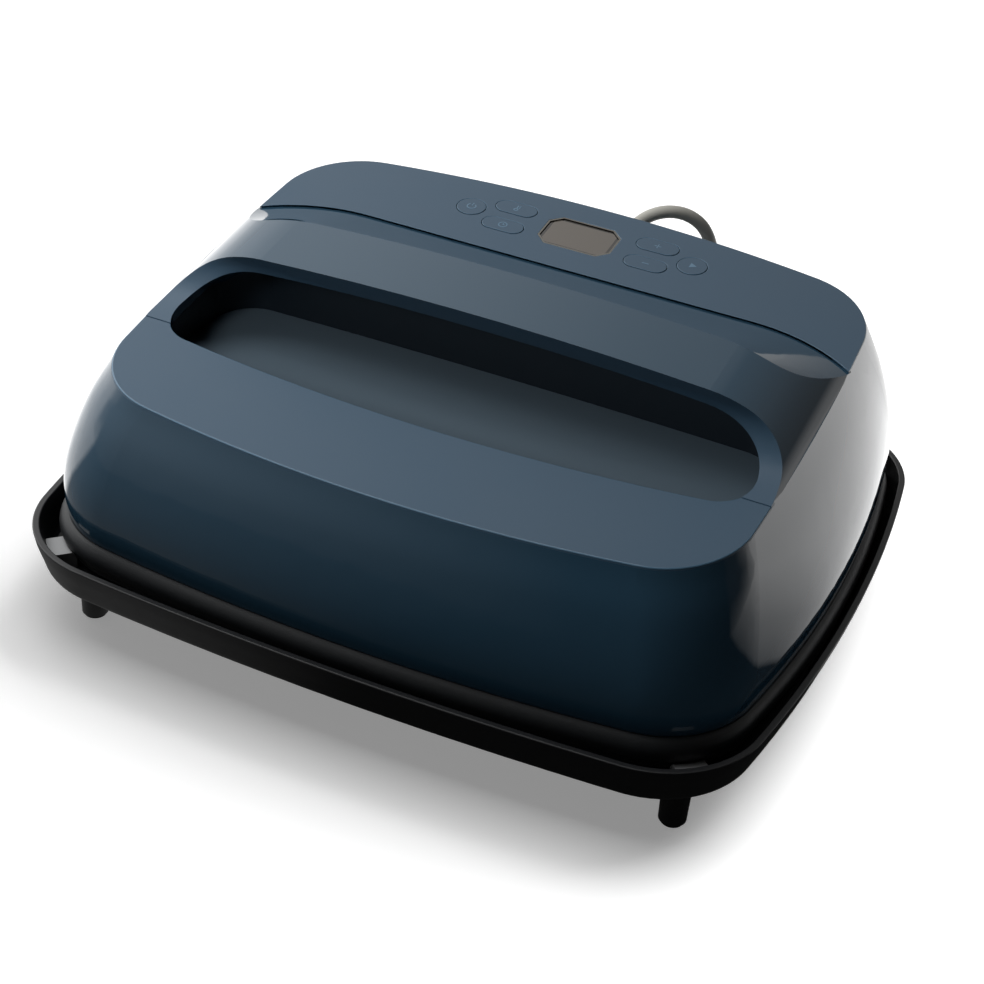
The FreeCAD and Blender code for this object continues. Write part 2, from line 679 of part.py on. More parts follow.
def control_board():
    """Printed circuit board below the keys, held up to two posts by screws."""
    low = CONTROL_BOARD_W
    board = rounded_box(CONTROL_BOARD_HALF_X, CONTROL_BOARD_HALF_Y, 3.0, low, low + BOARD_THICK,
                        (0.0, CONTROL_BOARD_Y))
    for u, v in board_screw_places():
        board = board.cut(cylinder(u, v, low - 1, low + 3, BOARD_SCREW_RADIUS + 0.4))
    chip = rounded_box(6.0, 6.0, 0.5, low - 1.6, low, (0.0, CONTROL_BOARD_Y))
    driver = rounded_box(3.0, 4.0, 0.4, low - 1.4, low, (20.0, CONTROL_BOARD_Y))
    return to_deck(fuse_all([board, chip, driver]))


def board_posts():
    """Two posts from the shell's skin down to the control board."""
    posts = []
    for u, v in board_screw_places():
        skin = -PANEL_RIM - TOP_SKIN
        post = cylinder(u, v, CONTROL_BOARD_W + BOARD_THICK, skin + 0.3, BOARD_POST_RADIUS)
        posts.append(to_deck(post.cut(cylinder(u, v, 3 * CONTROL_BOARD_W, skin - 0.5, BOARD_SCREW_RADIUS))))
    return posts


# ======================================================================== finger well
def above_well_floor(deeper):
    """Everything above the well's floor, or above the outside of its wall."""
    low = [V(-BIG / 2, v, w - deeper) for v, w in WELL_FLOOR]
    curve = Part.BSplineCurve()
    curve.interpolate(low)
    start, end = low[0], low[-1]
    up = V(0, 0, 60.0)
    edges = [curve.toShape(), Part.makeLine(end, end + up), Part.makeLine(end + up, start + up),
             Part.makeLine(start + up, start)]
    return to_deck(Part.Face(Part.Wire(edges)).extrude(V(BIG, 0, 0)))


def finger_well():
    """Dark tub under the opening, with a flange against the shell's underside."""
    shell_under = -PANEL_RIM - TOP_SKIN - WELL_FIT
    room = deck_slab(-BIG, shell_under)
    tub = prism(opening_wire(WELL_WALL), 0.0, 3 * DECK_Z).common(above_well_floor(WELL_WALL)).common(room)
    void = prism(opening_wire(), 0.0, 3 * DECK_Z).common(above_well_floor(0.0))
    flange = prism(opening_wire(WELL_WALL + WELL_FLANGE), 0.0, 3 * DECK_Z)
    flange = flange.common(deck_slab(shell_under - WELL_WALL, shell_under))
    return tub.fuse(flange).cut(void).common(body_form(SHELL_WALL + 0.2))


# ======================================================================== lower housing
def skirt_form(inward):
    """Black band under the seam, rounded outwards like a bumper."""
    sections = [body_section(height, lean, inward) for height, lean in SKIRT_PROFILE]
    return Part.makeLoft(sections, True, False)


def lower_housing():
    """Heat-resistant skirt with a web that carries the boards and the heat plate."""
    web_low = WEB_TOP_Z - WEB_THICK
    skirt = skirt_form(0.0).cut(skirt_form(SKIRT_WALL))
    inner = body_form(SHELL_WALL + TONGUE_GAP)
    web_band = Part.makeBox(2 * BIG, 2 * BIG, WEB_TOP_Z - SEAM_Z, V(-BIG, -BIG, SEAM_Z))
    above = Part.makeBox(2 * BIG, 2 * BIG, BIG, V(-BIG, -BIG, web_low))
    web = skirt_form(SKIRT_WALL * 0.5).common(above)
    web = web.fuse(inner.common(web_band))
    tongue_band = Part.makeBox(2 * BIG, 2 * BIG, TONGUE_HEIGHT, V(-BIG, -BIG, SEAM_Z))
    tongue = inner.cut(body_form(SHELL_WALL + TONGUE_GAP + TONGUE_WALL)).common(tongue_band)
    housing = skirt.fuse([web, tongue]).removeSplitter()
    holes = [cylinder(x, y, web_low - 1, WEB_TOP_Z + 8, SCREW_RADIUS + 0.15) for x, y in screw_places()]
    holes.append(lead_window(web_low - 1, WEB_TOP_Z + 1))
    for x in VENT_X:
        for k in range(VENT_ROWS):
            y = VENT_Y + (k - (VENT_ROWS - 1) / 2) * VENT_PITCH
            holes.append(rounded_box(VENT_LENGTH / 2, VENT_WIDTH / 2, VENT_WIDTH * 0.48,
                                     web_low - 1, WEB_TOP_Z + 1, (x, y)))
    housing = housing.cut(holes)
    return housing.fuse(power_board_posts())


def lead_window(z_low, z_high):
    """Block that cuts the way for the heating element's two legs."""
    y = PLATE_HALF_Y - ELEMENT_INSET - LEAD_WINDOW_AHEAD
    return rounded_box(WINDOW_HALF_X, LEAD_WINDOW_HALF_Y, WINDOW_CORNER, z_low, z_high, (0.0, y))


def power_board_places():
    cx, cy = POWER_BOARD_CENTRE
    corners = four_corners(POWER_BOARD_HALF_X - BOARD_POST_IN, POWER_BOARD_HALF_Y - BOARD_POST_IN)
    return [(cx + x, cy + y) for x, y in corners]


def power_board_posts():
    low = WEB_TOP_Z - 0.5
    high = WEB_TOP_Z + POWER_BOARD_LIFT
    posts = []
    for x, y in power_board_places():
        post = cylinder(x, y, low, high, BOARD_POST_RADIUS)
        posts.append(post.cut(cylinder(x, y, WEB_TOP_Z + 1.0, high + 1.0, BOARD_SCREW_RADIUS)))
    return posts


# ======================================================================== heat plate
def element_path(z):
    """Loop near the plate's edge, open at the rear where the two legs turn up."""
    x = PLATE_HALF_X - ELEMENT_INSET
    y = PLATE_HALF_Y - ELEMENT_INSET
    r = ELEMENT_CORNER
    leg = ELEMENT_LEGS_X
    bend = ELEMENT_BEND
    s = math.sqrt(0.5)

    def arc(centre, start, middle, end):
        c = V(centre[0], centre[1], z)
        return Part.Arc(c + V(*start, 0) * r, c + V(*middle, 0) * r, c + V(*end, 0) * r).toShape()

    def line(a, b):
        return Part.makeLine(V(a[0], a[1], z), V(b[0], b[1], z))

    right = [
        line((x - r, y), (leg + bend, y)),
        arc((x - r, y - r), (1, 0), (s, s), (0, 1)),
        line((x, r - y), (x, y - r)),
        arc((x - r, r - y), (0, -1), (s, -s), (1, 0)),
    ]
    left = [e.mirror(V(0, 0, 0), V(1, 0, 0)) for e in right]
    front = line((r - x, -y), (x - r, -y))
    low = V(leg + bend, y, z)
    mid = V(leg + bend * (1 - s), y, z + bend * (1 - s))
    top = V(leg, y, z + bend)
    turn = Part.Arc(low, mid, top).toShape()
    riser = Part.makeLine(top, V(leg, y, ELEMENT_LEG_TOP))
    legs = [turn, riser]
    legs += [e.mirror(V(0, 0, 0), V(1, 0, 0)) for e in legs]
    return Part.Wire(Part.__sortEdges__(right + left + [front] + legs))


def element_height():
    return PLATE_BOTTOM_Z + PLATE_THICK - ELEMENT_RADIUS - ELEMENT_COVER


def sweep_round(path, radius):
    start = path.OrderedEdges[0]
    point = start.valueAt(start.FirstParameter)
    heading = start.tangentAt(start.FirstParameter)
    if path.OrderedVertexes[0].Point.distanceToPoint(point) > 1e-6:
        point = start.valueAt(start.LastParameter)
        heading = start.tangentAt(start.LastParameter)
    ring = Part.Wire(Part.makeCircle(radius, point, heading))
    return path.makePipeShell([ring], True, True)


def heating_element():
    """Sheathed heating rod laid in the plate's groove, with two terminal legs."""
    return sweep_round(element_path(element_height()), ELEMENT_RADIUS)


def plate_outline(outward, z_low, z_high):
    """Upright block with the plate's bowed outline, grown or shrunk."""
    wire = bowed_outline(PLATE_HALF_X + outward, -PLATE_HALF_Y - outward, PLATE_HALF_Y + outward,
                         (PLATE_BOW_FRONT, PLATE_BOW_FRONT, PLATE_BOW_SIDE),
                         (PLATE_CORNER + outward, PLATE_CORNER + outward), 0.0)
    return prism(wire, z_low, z_high)


def heat_plate():
    """Aluminium casting with a polished, slightly rounded working face."""
    top = PLATE_BOTTOM_Z + PLATE_THICK
    plate = plate_outline(0.0, PLATE_BOTTOM_Z, top)
    low_edges = [e for e in plate.Edges if e.BoundBox.ZMax < PLATE_BOTTOM_Z + 0.01]
    plate = plate.makeFillet(PLATE_EDGE, low_edges)
    reach = ELEMENT_RADIUS + ELEMENT_GAP
    x = PLATE_HALF_X - ELEMENT_INSET
    y = PLATE_HALF_Y - ELEMENT_INSET
    low = element_height() - reach
    outer = rounded_box(x + reach, y + reach, ELEMENT_CORNER + reach, low, top + 1)
    inner = rounded_box(x - reach, y - reach, ELEMENT_CORNER - reach, low - 1, top + 2)
    plate = plate.cut(outer.cut(inner))
    low = top - PLATE_SCREW_DEPTH
    return plate.cut([cylinder(x, y, low, top + 1, SCREW_RADIUS) for x, y in plate_screw_places()])


def plate_screw_places():
    return four_corners(STANDOFF_X, STANDOFF_Y)


def plate_insulation():
    """Board of mineral fibre over the plate, cut out for legs, posts and sensors."""
    low = PLATE_BOTTOM_Z + PLATE_THICK + INSULATION_GAP
    high = low + INSULATION_THICK
    board = plate_outline(-INSULATION_INSET, low, high)
    cuts = [cylinder(x, y, low - 1, high + 1, STANDOFF_RADIUS + 0.4) for x, y in plate_screw_places()]
    cuts.append(lead_window(low - 1, high + 1))
    cuts.append(rounded_box(WINDOW_HALF_X, SENSOR_WINDOW_HALF_Y, WINDOW_CORNER, low - 1, high + 1))
    return board.cut(cuts)


def shield_low():
    return PLATE_BOTTOM_Z + PLATE_THICK + INSULATION_THICK + 2 * INSULATION_GAP


def heat_shield():
    """Folded steel sheet between the insulation and the web, with a turned-down lip."""
    low = shield_low()
    high = low + SHIELD_THICK
    pan = plate_outline(SHIELD_REACH, low - SHIELD_LIP, high)
    inside = plate_outline(SHIELD_REACH - SHIELD_THICK, low - SHIELD_LIP - 1, low)
    cuts = [inside, lead_window(low - 1, high + 1)]
    cuts += [cylinder(x, y, low - 1, high + 1, STANDOFF_RADIUS + 0.2) for x, y in plate_screw_places()]
    return pan.cut(cuts)


def plate_standoffs():
    """Four ceramic-filled spacers from the plate to the web."""
    low = PLATE_BOTTOM_Z + PLATE_THICK
    high = WEB_TOP_Z - WEB_THICK
    posts = [cylinder(x, y, low, high, STANDOFF_RADIUS) for x, y in plate_screw_places()]
    bores = [cylinder(x, y, low - 1, high + 1, SCREW_RADIUS) for x, y in plate_screw_places()]
    return group([post.cut(bore) for post, bore in zip(posts, bores)])


def thermal_cutout():
    """Disc thermostat that breaks the circuit if the plate overheats."""
    low = PLATE_BOTTOM_Z + PLATE_THICK
    body = cylinder(-14.0, 0.0, low, low + 4.0, 8.0)
    ear = rounded_box(13.0, 3.5, 3.4, low, low + 0.8, (-14.0, 0.0))
    tags = [Part.makeBox(6.0, 3.0, 0.8, V(-14.0 + s * 5.0 - 3.0, -1.5, low + 4.0)) for s in (-1, 1)]
    return fuse_all([body, ear] + tags)


def thermistor():
    """Glass-bead temperature sensor under a small clamp."""
    low = PLATE_BOTTOM_Z + PLATE_THICK
    clamp = rounded_box(7.0, 4.0, 1.5, low, low + 1.2, (18.0, 0.0))
    bead = Part.makeCylinder(1.6, 12.0, V(14.0, 0.0, low + 1.6), V(1, 0, 0))
    return clamp.fuse(bead)


# ======================================================================== boards
def power_board():
    cx, cy = POWER_BOARD_CENTRE
    low = WEB_TOP_Z + POWER_BOARD_LIFT
    board = rounded_box(POWER_BOARD_HALF_X, POWER_BOARD_HALF_Y, 2.0, low, low + BOARD_THICK, (cx, cy))
    high = low + BOARD_THICK + 1
    radius = BOARD_SCREW_RADIUS + 0.4
    return board.cut([cylinder(x, y, low - 1, high, radius) for x, y in power_board_places()])


def power_transformer():
    cx, cy = POWER_BOARD_CENTRE
    low = WEB_TOP_Z + POWER_BOARD_LIFT + BOARD_THICK
    core = rounded_box(11.0, 9.0, 1.0, low + 3.0, low + 17.0, (cx - 26.0, cy + 6.0))
    bobbin = rounded_box(8.0, 11.0, 2.0, low, low + 15.0, (cx - 26.0, cy + 6.0))
    return core.fuse(bobbin)


def heating_relay():
    cx, cy = POWER_BOARD_CENTRE
    low = WEB_TOP_Z + POWER_BOARD_LIFT + BOARD_THICK
    return rounded_box(14.5, 6.5, 1.0, low, low + 20.0, (cx + 24.0, cy - 14.0))


def board_capacitors():
    cx, cy = POWER_BOARD_CENTRE
    low = WEB_TOP_Z + POWER_BOARD_LIFT + BOARD_THICK
    return group([cylinder(cx + x, cy + 14.0, low, low + 16.0, 5.0) for x in (2.0, 16.0, 30.0)])


def beeper():
    low = CONTROL_BOARD_W - 5.0
    can = cylinder(-44.0, PILL_Y, low, CONTROL_BOARD_W, 6.0)
    return to_deck(can.cut(cylinder(-44.0, PILL_Y, low - 1, low + 0.6, 1.0)))


# ======================================================================== screws
def screw_up(x, y, seat, length, head_radius, radius):
    """Pan-head screw driven upwards, its head under the seat."""
    head = cylinder(x, y, seat - HEAD_THICK, seat, head_radius)
    return head.fuse(cylinder(x, y, seat, seat + length, radius - SCREW_SLACK))


def screw_down(x, y, seat, length, head_radius, radius):
    """Pan-head screw driven downwards, its head on the seat."""
    head = cylinder(x, y, seat, seat + HEAD_THICK, head_radius)
    return head.fuse(cylinder(x, y, seat - length, seat, radius - SCREW_SLACK))


def housing_screws():
    """Seven screws from under the web up into the shell's bosses."""
    low = WEB_TOP_Z - WEB_THICK
    return group([screw_up(x, y, low, BOSS_BORE, SCREW_HEAD, SCREW_RADIUS) for x, y in screw_places()])


def power_board_screws():
    """Four screws that hold the power board to its posts."""
    top = WEB_TOP_Z + POWER_BOARD_LIFT + BOARD_THICK
    return group([screw_down(x, y, top, POWER_BOARD_SCREW, BOARD_SCREW_HEAD, BOARD_SCREW_RADIUS)
                  for x, y in power_board_places()])


def control_board_screws():
    """Two screws up through the control board into the shell's posts."""
    low = CONTROL_BOARD_W
    length = -PANEL_RIM - TOP_SKIN - 1.5 - low
    return group([to_deck(screw_up(u, v, low, length, BOARD_SCREW_HEAD, BOARD_SCREW_RADIUS))
                  for u, v in board_screw_places()])


# ======================================================================== stand
def tray_section(drop, inset):
    return bowed_outline(RIM_HALF_X - inset, inset - RIM_HALF_Y, RIM_HALF_Y - inset,
                         (RIM_BOW_FRONT, RIM_BOW_FRONT, RIM_BOW_SIDE),
                         (RIM_CORNER - inset, RIM_CORNER - inset), RIM_Z + drop)


def tray_form(inward, lift):
    sections = [tray_section(drop + lift, inset + inward) for drop, inset in TRAY_OUTSIDE]
    return Part.makeLoft(sections, True, False)


def stand_tray():
    """Moulded tray with a rounded rim, ribbed underneath."""
    outside = tray_form(0.0, 0.0)
    inside = tray_form(TRAY_WALL, TRAY_FLOOR)
    low_rim = Part.makeBox(2 * BIG, 2 * BIG, BIG, V(-BIG, -BIG, RIM_Z))
    tray = outside.cut(inside).cut(low_rim)
    rim = [e for e in tray.Edges if e.BoundBox.ZMin > RIM_Z - 0.01]
    tray = tray.makeFillet(TRAY_EDGE, rim)
    ribs = [stand_rib(0.0, y, LONG_RIB_HALF, RIB_WIDTH / 2) for y in (-LONG_RIB_Y, LONG_RIB_Y)]
    ribs += [stand_rib(x, 0.0, RIB_WIDTH / 2, CROSS_RIB_HALF) for x in (-CROSS_RIB_X, 0.0, CROSS_RIB_X)]
    tray = tray.fuse(ribs)
    places = four_corners(FOOT_X, FOOT_Y)
    bores = [cylinder(x, y, 0.0, RIM_Z, SCREW_RADIUS + 0.15) for x, y in places]
    sinks = [cylinder(x, y, stand_screw_seat(), RIM_Z, SCREW_HEAD + 0.3) for x, y in places]
    return tray.cut(bores + sinks).removeSplitter()


def stand_screw_seat():
    return TRAY_BOTTOM_Z + TRAY_FLOOR - HEAD_THICK - 0.1


def stand_rib(x, y, half_x, half_y):
    """Straight rib under the tray's floor."""
    low = TRAY_BOTTOM_Z - RIB_HEIGHT
    return Part.makeBox(2 * half_x, 2 * half_y, RIB_HEIGHT + 1.0, V(x - half_x, y - half_y, low))


def stand_foot(x, y):
    """Tapered post with four fins where it meets the tray."""
    tip = PAD_THICK - PAD_SOCKET
    height = TRAY_BOTTOM_Z - tip
    post = Part.makeCone(FOOT_TIP_RADIUS, FOOT_TOP_RADIUS, height, V(x, y, tip))
    fins = []
    top = TRAY_BOTTOM_Z
    low = top - FOOT_GUSSET
    wide = V(FOOT_TOP_RADIUS + FOOT_FIN_REACH, 0, top)
    narrow = V(FOOT_TIP_RADIUS - 0.7, 0, low)
    waist = V(FOOT_TOP_RADIUS + FOOT_FIN_REACH * 0.25, 0, top - FOOT_GUSSET * 0.4)
    axis = [V(0, 0, low), V(0, 0, top)]
    flank = Part.Wire([Part.Arc(wide, waist, narrow).toShape(), Part.makeLine(narrow, axis[0]),
                       Part.makeLine(*axis), Part.makeLine(axis[1], wide)])
    for turn in (0, 90, 180, 270):
        fin = Part.Face(flank).extrude(V(0, FOOT_FIN, 0))
        fin.translate(V(0, -FOOT_FIN / 2, 0))
        fin.rotate(V(0, 0, 0), V(0, 0, 1), turn)
        fin.translate(V(x, y, 0))
        fins.append(fin)
    foot = post.fuse(fins)
    foot = foot.cut(cylinder(x, y, 0.0, PAD_THICK, PAD_RADIUS + 0.05))
    return foot.cut(cylinder(x, y, TRAY_BOTTOM_Z - FOOT_BORE, TRAY_BOTTOM_Z + 1, SCREW_RADIUS))


def stand_feet():
    return group([stand_foot(x, y) for x, y in four_corners(FOOT_X, FOOT_Y)])


def foot_pads():
    return group([cylinder(x, y, 0.0, PAD_THICK, PAD_RADIUS) for x, y in four_corners(FOOT_X, FOOT_Y)])


def stand_screws():
    """Four screws sunk in the tray's floor, down into the feet."""
    return group([screw_down(x, y, stand_screw_seat(), FOOT_BORE, SCREW_HEAD, SCREW_RADIUS)
                  for x, y in four_corners(FOOT_X, FOOT_Y)])


def rest_pads():
    """Silicone discs on the tray's floor that the hot plate stands on."""
    low = TRAY_BOTTOM_Z + TRAY_FLOOR
    places = four_corners(REST_PAD_X, REST_PAD_Y) + [(0.0, 0.0)]
    return group([cylinder(x, y, low, PLATE_BOTTOM_Z - REST_GAP, REST_PAD_RADIUS) for x, y in places])


def corner_locators():
    """Four pale silicone blocks that centre the press in the tray's corners."""
    low = TRAY_BOTTOM_Z + TRAY_FLOOR
    ring = tray_form(TRAY_WALL + 0.1, TRAY_FLOOR + 0.1)
    band = Part.makeBox(2 * BIG, 2 * BIG, LOCATOR_HEIGHT, V(-BIG, -BIG, low))
    foot_print = prism(body_section(-SEAM_Z, SKIRT_PROFILE[0][1], -LOCATOR_GAP), 0.0, SKIRT_BOTTOM_Z + 0.1)
    centre = tangent_circle(V(0, RIM_BOW_FRONT - RIM_HALF_Y, 0), RIM_BOW_FRONT,
                            V(RIM_HALF_X - RIM_BOW_SIDE, 0, 0), RIM_BOW_SIDE, RIM_CORNER, -1)
    ring = ring.common(band).cut(skirt_form(-LOCATOR_GAP)).cut(foot_print)
    blocks = []
    for sx, sy in four_corners(1.0, 1.0):
        slot = Part.makeBox(80.0, LOCATOR_LEG, RIM_Z * 2, V(0, -LOCATOR_LEG / 2, 0))
        slot.rotate(V(0, 0, 0), V(0, 0, 1), math.degrees(math.atan2(sy, sx)))
        slot.translate(V(sx * centre.x, -sy * centre.y, 0))
        blocks.append(ring.common(slot))
    return group(blocks)


# ======================================================================== cord
def relief_axis():
    """Tip of the strain relief and the way the cord leaves it."""
    tip = V(*CORD_ROUTE[0])
    way = (V(*CORD_ROUTE[1]) - tip).normalize()
    return tip, way


def along_relief(distance):
    """Point on the relief's axis, measured from its root inside the rear wall."""
    tip, way = relief_axis()
    return tip - way * (RELIEF_LENGTH - distance)


def relief_hood():
    """Hood on the rear wall that turns the cord upwards."""
    _, way = relief_axis()
    large = RELIEF_BASE_RADIUS + HOOD_WALL
    cone = Part.makeCone(HOOD_FOOT_RADIUS, large, HOOD_DROP + HOOD_TOP, along_relief(-HOOD_DROP), way)
    rim = [e for e in cone.Edges if abs(e.Length - 2 * math.pi * large) < 0.1]
    return cone.makeFillet(HOOD_WALL * 0.6, rim).cut(body_form(SHELL_WALL))


def relief_bore():
    _, way = relief_axis()
    past = RELIEF_ROOT + 7.0
    return Part.makeCylinder(RELIEF_BASE_RADIUS + 0.1, past + HOOD_TOP + 2.0, along_relief(-past), way)


def strain_relief():
    """Tapered rubber sleeve with flexing rings."""
    _, way = relief_axis()
    root = Part.makeCylinder(RELIEF_BASE_RADIUS, RELIEF_ROOT + HOOD_TOP, along_relief(-RELIEF_ROOT), way)
    sleeve = Part.makeCone(RELIEF_BASE_RADIUS, RELIEF_TIP_RADIUS, RELIEF_LENGTH - HOOD_TOP,
                           along_relief(HOOD_TOP), way)
    rings = []
    for k in range(RELIEF_RINGS):
        at = along_relief(HOOD_TOP + 2.0 + RELIEF_RING_PITCH * k)
        rings.append(Part.makeCylinder(9.0, 1.2, at, way).cut(
            Part.makeCylinder(RELIEF_TIP_RADIUS + 0.7 - 0.3 * k, 1.2, at, way)))
    return root.fuse(sleeve).removeSplitter().cut(rings)


def cord_tube(name, route):
    """Round tube along straight runs joined by tangent arcs, as large as the runs allow."""
    points = [V(*p) for p in route]
    edges = []
    radii = []
    start = points[0]
    for before, here, after in zip(points, points[1:], points[2:]):
        come = (here - before).normalize()
        leave = (after - here).normalize()
        half_turn = come.getAngle(leave) / 2
        reach = 0.45 * min(before.distanceToPoint(here), here.distanceToPoint(after))
        radius = reach / math.tan(half_turn)
        entry = here - come * reach
        exit_point = here + leave * reach
        towards = (leave - come).normalize()
        bulge = radius / math.cos(half_turn) - radius
        edges.append(Part.makeLine(start, entry))
        edges.append(Part.Arc(entry, here + towards * bulge, exit_point).toShape())
        radii.append(round(radius, 1))
        start = exit_point
    edges.append(Part.makeLine(start, points[-1]))
    path = Part.Wire(edges)
    tube = sweep_round(path, CORD_RADIUS)
    expected = math.pi * CORD_RADIUS ** 2 * path.Length
    print(f"{name}: length {path.Length:.1f}, radii {radii}, volume / expected {tube.Volume / expected:.4f}")
    return tube


def cord_coil():
    """Outer shape of the wound cord behind the stand."""
    pitch = 2 * CORD_RADIUS
    inner = COIL_MIDDLE - COIL_TURNS_WIDE * CORD_RADIUS
    outer = COIL_MIDDLE + COIL_TURNS_WIDE * CORD_RADIUS
    height = COIL_LAYERS * pitch
    x, y = COIL_CENTRE
    ring = cylinder(x, y, 0.0, height, outer).cut(cylinder(x, y, -1.0, height + 1, inner))
    turns = 2 * math.pi * COIL_MIDDLE * COIL_TURNS_WIDE * COIL_LAYERS
    print(f"cord_coil: {COIL_TURNS_WIDE * COIL_LAYERS} turns, length {turns:.0f}")
    circles = [e for e in ring.Edges if len(e.Vertexes) < 2]
    return ring.makeFillet(CORD_RADIUS * 0.8, circles)


def to_plug(shape):
    """Put a shape drawn along +X from the cord's end into its place on the table."""
    end = V(*TAIL_ROUTE[-1])
    before = V(*TAIL_ROUTE[-2])
    placed = shape.copy()
    placed.rotate(V(0, 0, 0), V(0, 0, 1), math.degrees(math.atan2(end.y - before.y, end.x - before.x)))
    placed.translate(end)
    return placed


def mains_plug():
    """Moulded three-pin plug with a finger grip behind its face."""
    half = PLUG_HALF

    def section(x, half_width, half_height, corner):
        wire = rounded_box(half_width, half_height, corner, 0.0, 1.0).Faces
        flat = min(wire, key=lambda f: f.CenterOfMass.z).OuterWire.copy()
        flat.rotate(V(0, 0, 0), V(0, 1, 0), 90)
        flat.translate(V(x, 0, 0))
        return flat

    neck = Part.makeCone(CORD_RADIUS + 1.3, CORD_RADIUS + 2.6, 9.0, V(0, 0, 0), V(1, 0, 0))
    body = Part.makeLoft([section(8.0, 6.5, 6.5, 6.0), section(16.0, 9.0, 9.5, 6.0),
                          section(24.0, half, half, 6.0), section(PLUG_LENGTH, half, half, 6.0)], True, True)
    return to_plug(neck.fuse(body).removeSplitter())


def plug_blades():
    blades = [Part.makeBox(BLADE_LENGTH, 1.5, 6.3, V(PLUG_LENGTH, s * 6.35 - 0.75, -3.15 - 2.0))
              for s in (-1, 1)]
    pin = Part.makeCylinder(2.4, BLADE_LENGTH + 3.0, V(PLUG_LENGTH, 0, 6.0), V(1, 0, 0))
    return group([to_plug(shape) for shape in blades + [pin]])


# ======================================================================== the files
def nodes():
    """Every separate piece, by the name of its file."""
    made = {
        "stand_tray": stand_tray(), "stand_feet": stand_feet(), "foot_pads": foot_pads(),
        "stand_screws": stand_screws(), "rest_pads": rest_pads(), "corner_locators": corner_locators(),
        "outer_shell": outer_shell(), "grip_panel": grip_panel(), "control_deck": control_deck(),
        "finger_well": finger_well(), "lcd_bezel": lcd_bezel(), "lcd_window": lcd_window(),
        "lcd_module": lcd_module(), "control_board": control_board(), "tact_switches": tact_switches(),
        "control_board_screws": control_board_screws(), "beeper": beeper(),
        "lower_housing": lower_housing(), "housing_screws": housing_screws(),
        "power_board": power_board(), "power_board_screws": power_board_screws(),
        "power_transformer": power_transformer(), "heating_relay": heating_relay(),
        "board_capacitors": board_capacitors(), "heat_plate": heat_plate(),
        "heating_element": heating_element(), "plate_insulation": plate_insulation(),
        "heat_shield": heat_shield(), "plate_standoffs": plate_standoffs(),
        "thermal_cutout": thermal_cutout(), "thermistor": thermistor(),
        "strain_relief": strain_relief(), "power_cord": cord_tube("power_cord", CORD_ROUTE),
        "cord_coil": cord_coil(), "cord_tail": cord_tube("cord_tail", TAIL_ROUTE),
        "mains_plug": mains_plug(), "plug_blades": plug_blades(),
    }
    for key in KEYS:
        made[key] = key_cap(key)
    return made


def write_parts():
    os.makedirs("parts", exist_ok=True)
    for name, shape in nodes().items():
        if not shape.isValid():
            print("not valid:", name)
        print(f"{name}: {len(shape.Solids)} solids, {shape.Volume:.0f} mm3")
        shape.exportStep(f"parts/{name}.step")


if __name__ == "__main__":
    write_parts()
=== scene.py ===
"""Looks of the hand-held heat press in its stand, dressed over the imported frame.

Metres, in the frame's own axes: +X right, +Y to the rear, +Z up, with the table at z = 0.
"""
import bmesh
import bpy
import math
from mathutils import Matrix, Vector


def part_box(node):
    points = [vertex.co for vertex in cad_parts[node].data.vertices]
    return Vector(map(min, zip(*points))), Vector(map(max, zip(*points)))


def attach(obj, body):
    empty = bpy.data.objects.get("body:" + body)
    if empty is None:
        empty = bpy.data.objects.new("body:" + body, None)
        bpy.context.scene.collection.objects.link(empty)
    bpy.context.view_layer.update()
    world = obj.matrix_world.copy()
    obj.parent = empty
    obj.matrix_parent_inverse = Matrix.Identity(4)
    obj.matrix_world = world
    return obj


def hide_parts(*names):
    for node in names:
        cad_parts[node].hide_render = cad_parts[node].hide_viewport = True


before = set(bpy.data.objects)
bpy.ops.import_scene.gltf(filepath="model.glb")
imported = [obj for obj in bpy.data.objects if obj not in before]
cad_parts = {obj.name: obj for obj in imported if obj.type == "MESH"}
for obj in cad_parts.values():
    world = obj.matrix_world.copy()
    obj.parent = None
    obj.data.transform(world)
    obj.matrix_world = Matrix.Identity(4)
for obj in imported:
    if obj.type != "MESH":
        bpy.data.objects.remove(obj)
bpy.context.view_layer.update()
scene = bpy.context.scene
scene.view_settings.view_transform = "Standard"

# ---- Camera -------------------------------------------------------------------------------
# A short telephoto above the front right of the press, rolled a few degrees to the right.
AIM = Vector((0.00273, 0.0, 0.050))
AZIMUTH = math.radians(22.13)
ELEVATION = math.radians(33.92)
ROLL = 0.084163
DISTANCE = 0.9613
LENS = 76.12


def new_object(name, data):
    """An object of this mesh, curve, light or camera, in the scene."""
    made = bpy.data.objects.new(name, data)
    scene.collection.objects.link(made)
    return made


camera = new_object("camera", bpy.data.cameras.new("camera"))
camera.data.lens = LENS
camera.data.sensor_width = 36.0
camera.data.clip_start = 0.05
camera.data.clip_end = 60.0
towards = Vector((math.sin(AZIMUTH) * math.cos(ELEVATION),
                  -math.cos(AZIMUTH) * math.cos(ELEVATION),
                  math.sin(ELEVATION)))
turn = Matrix.Rotation(AZIMUTH, 4, "Z") @ Matrix.Rotation(math.pi / 2 - ELEVATION, 4, "X")
camera.matrix_world = (Matrix.Translation(AIM + towards * DISTANCE) @ turn
                       @ Matrix.Rotation(ROLL, 4, "Z"))
scene.camera = camera

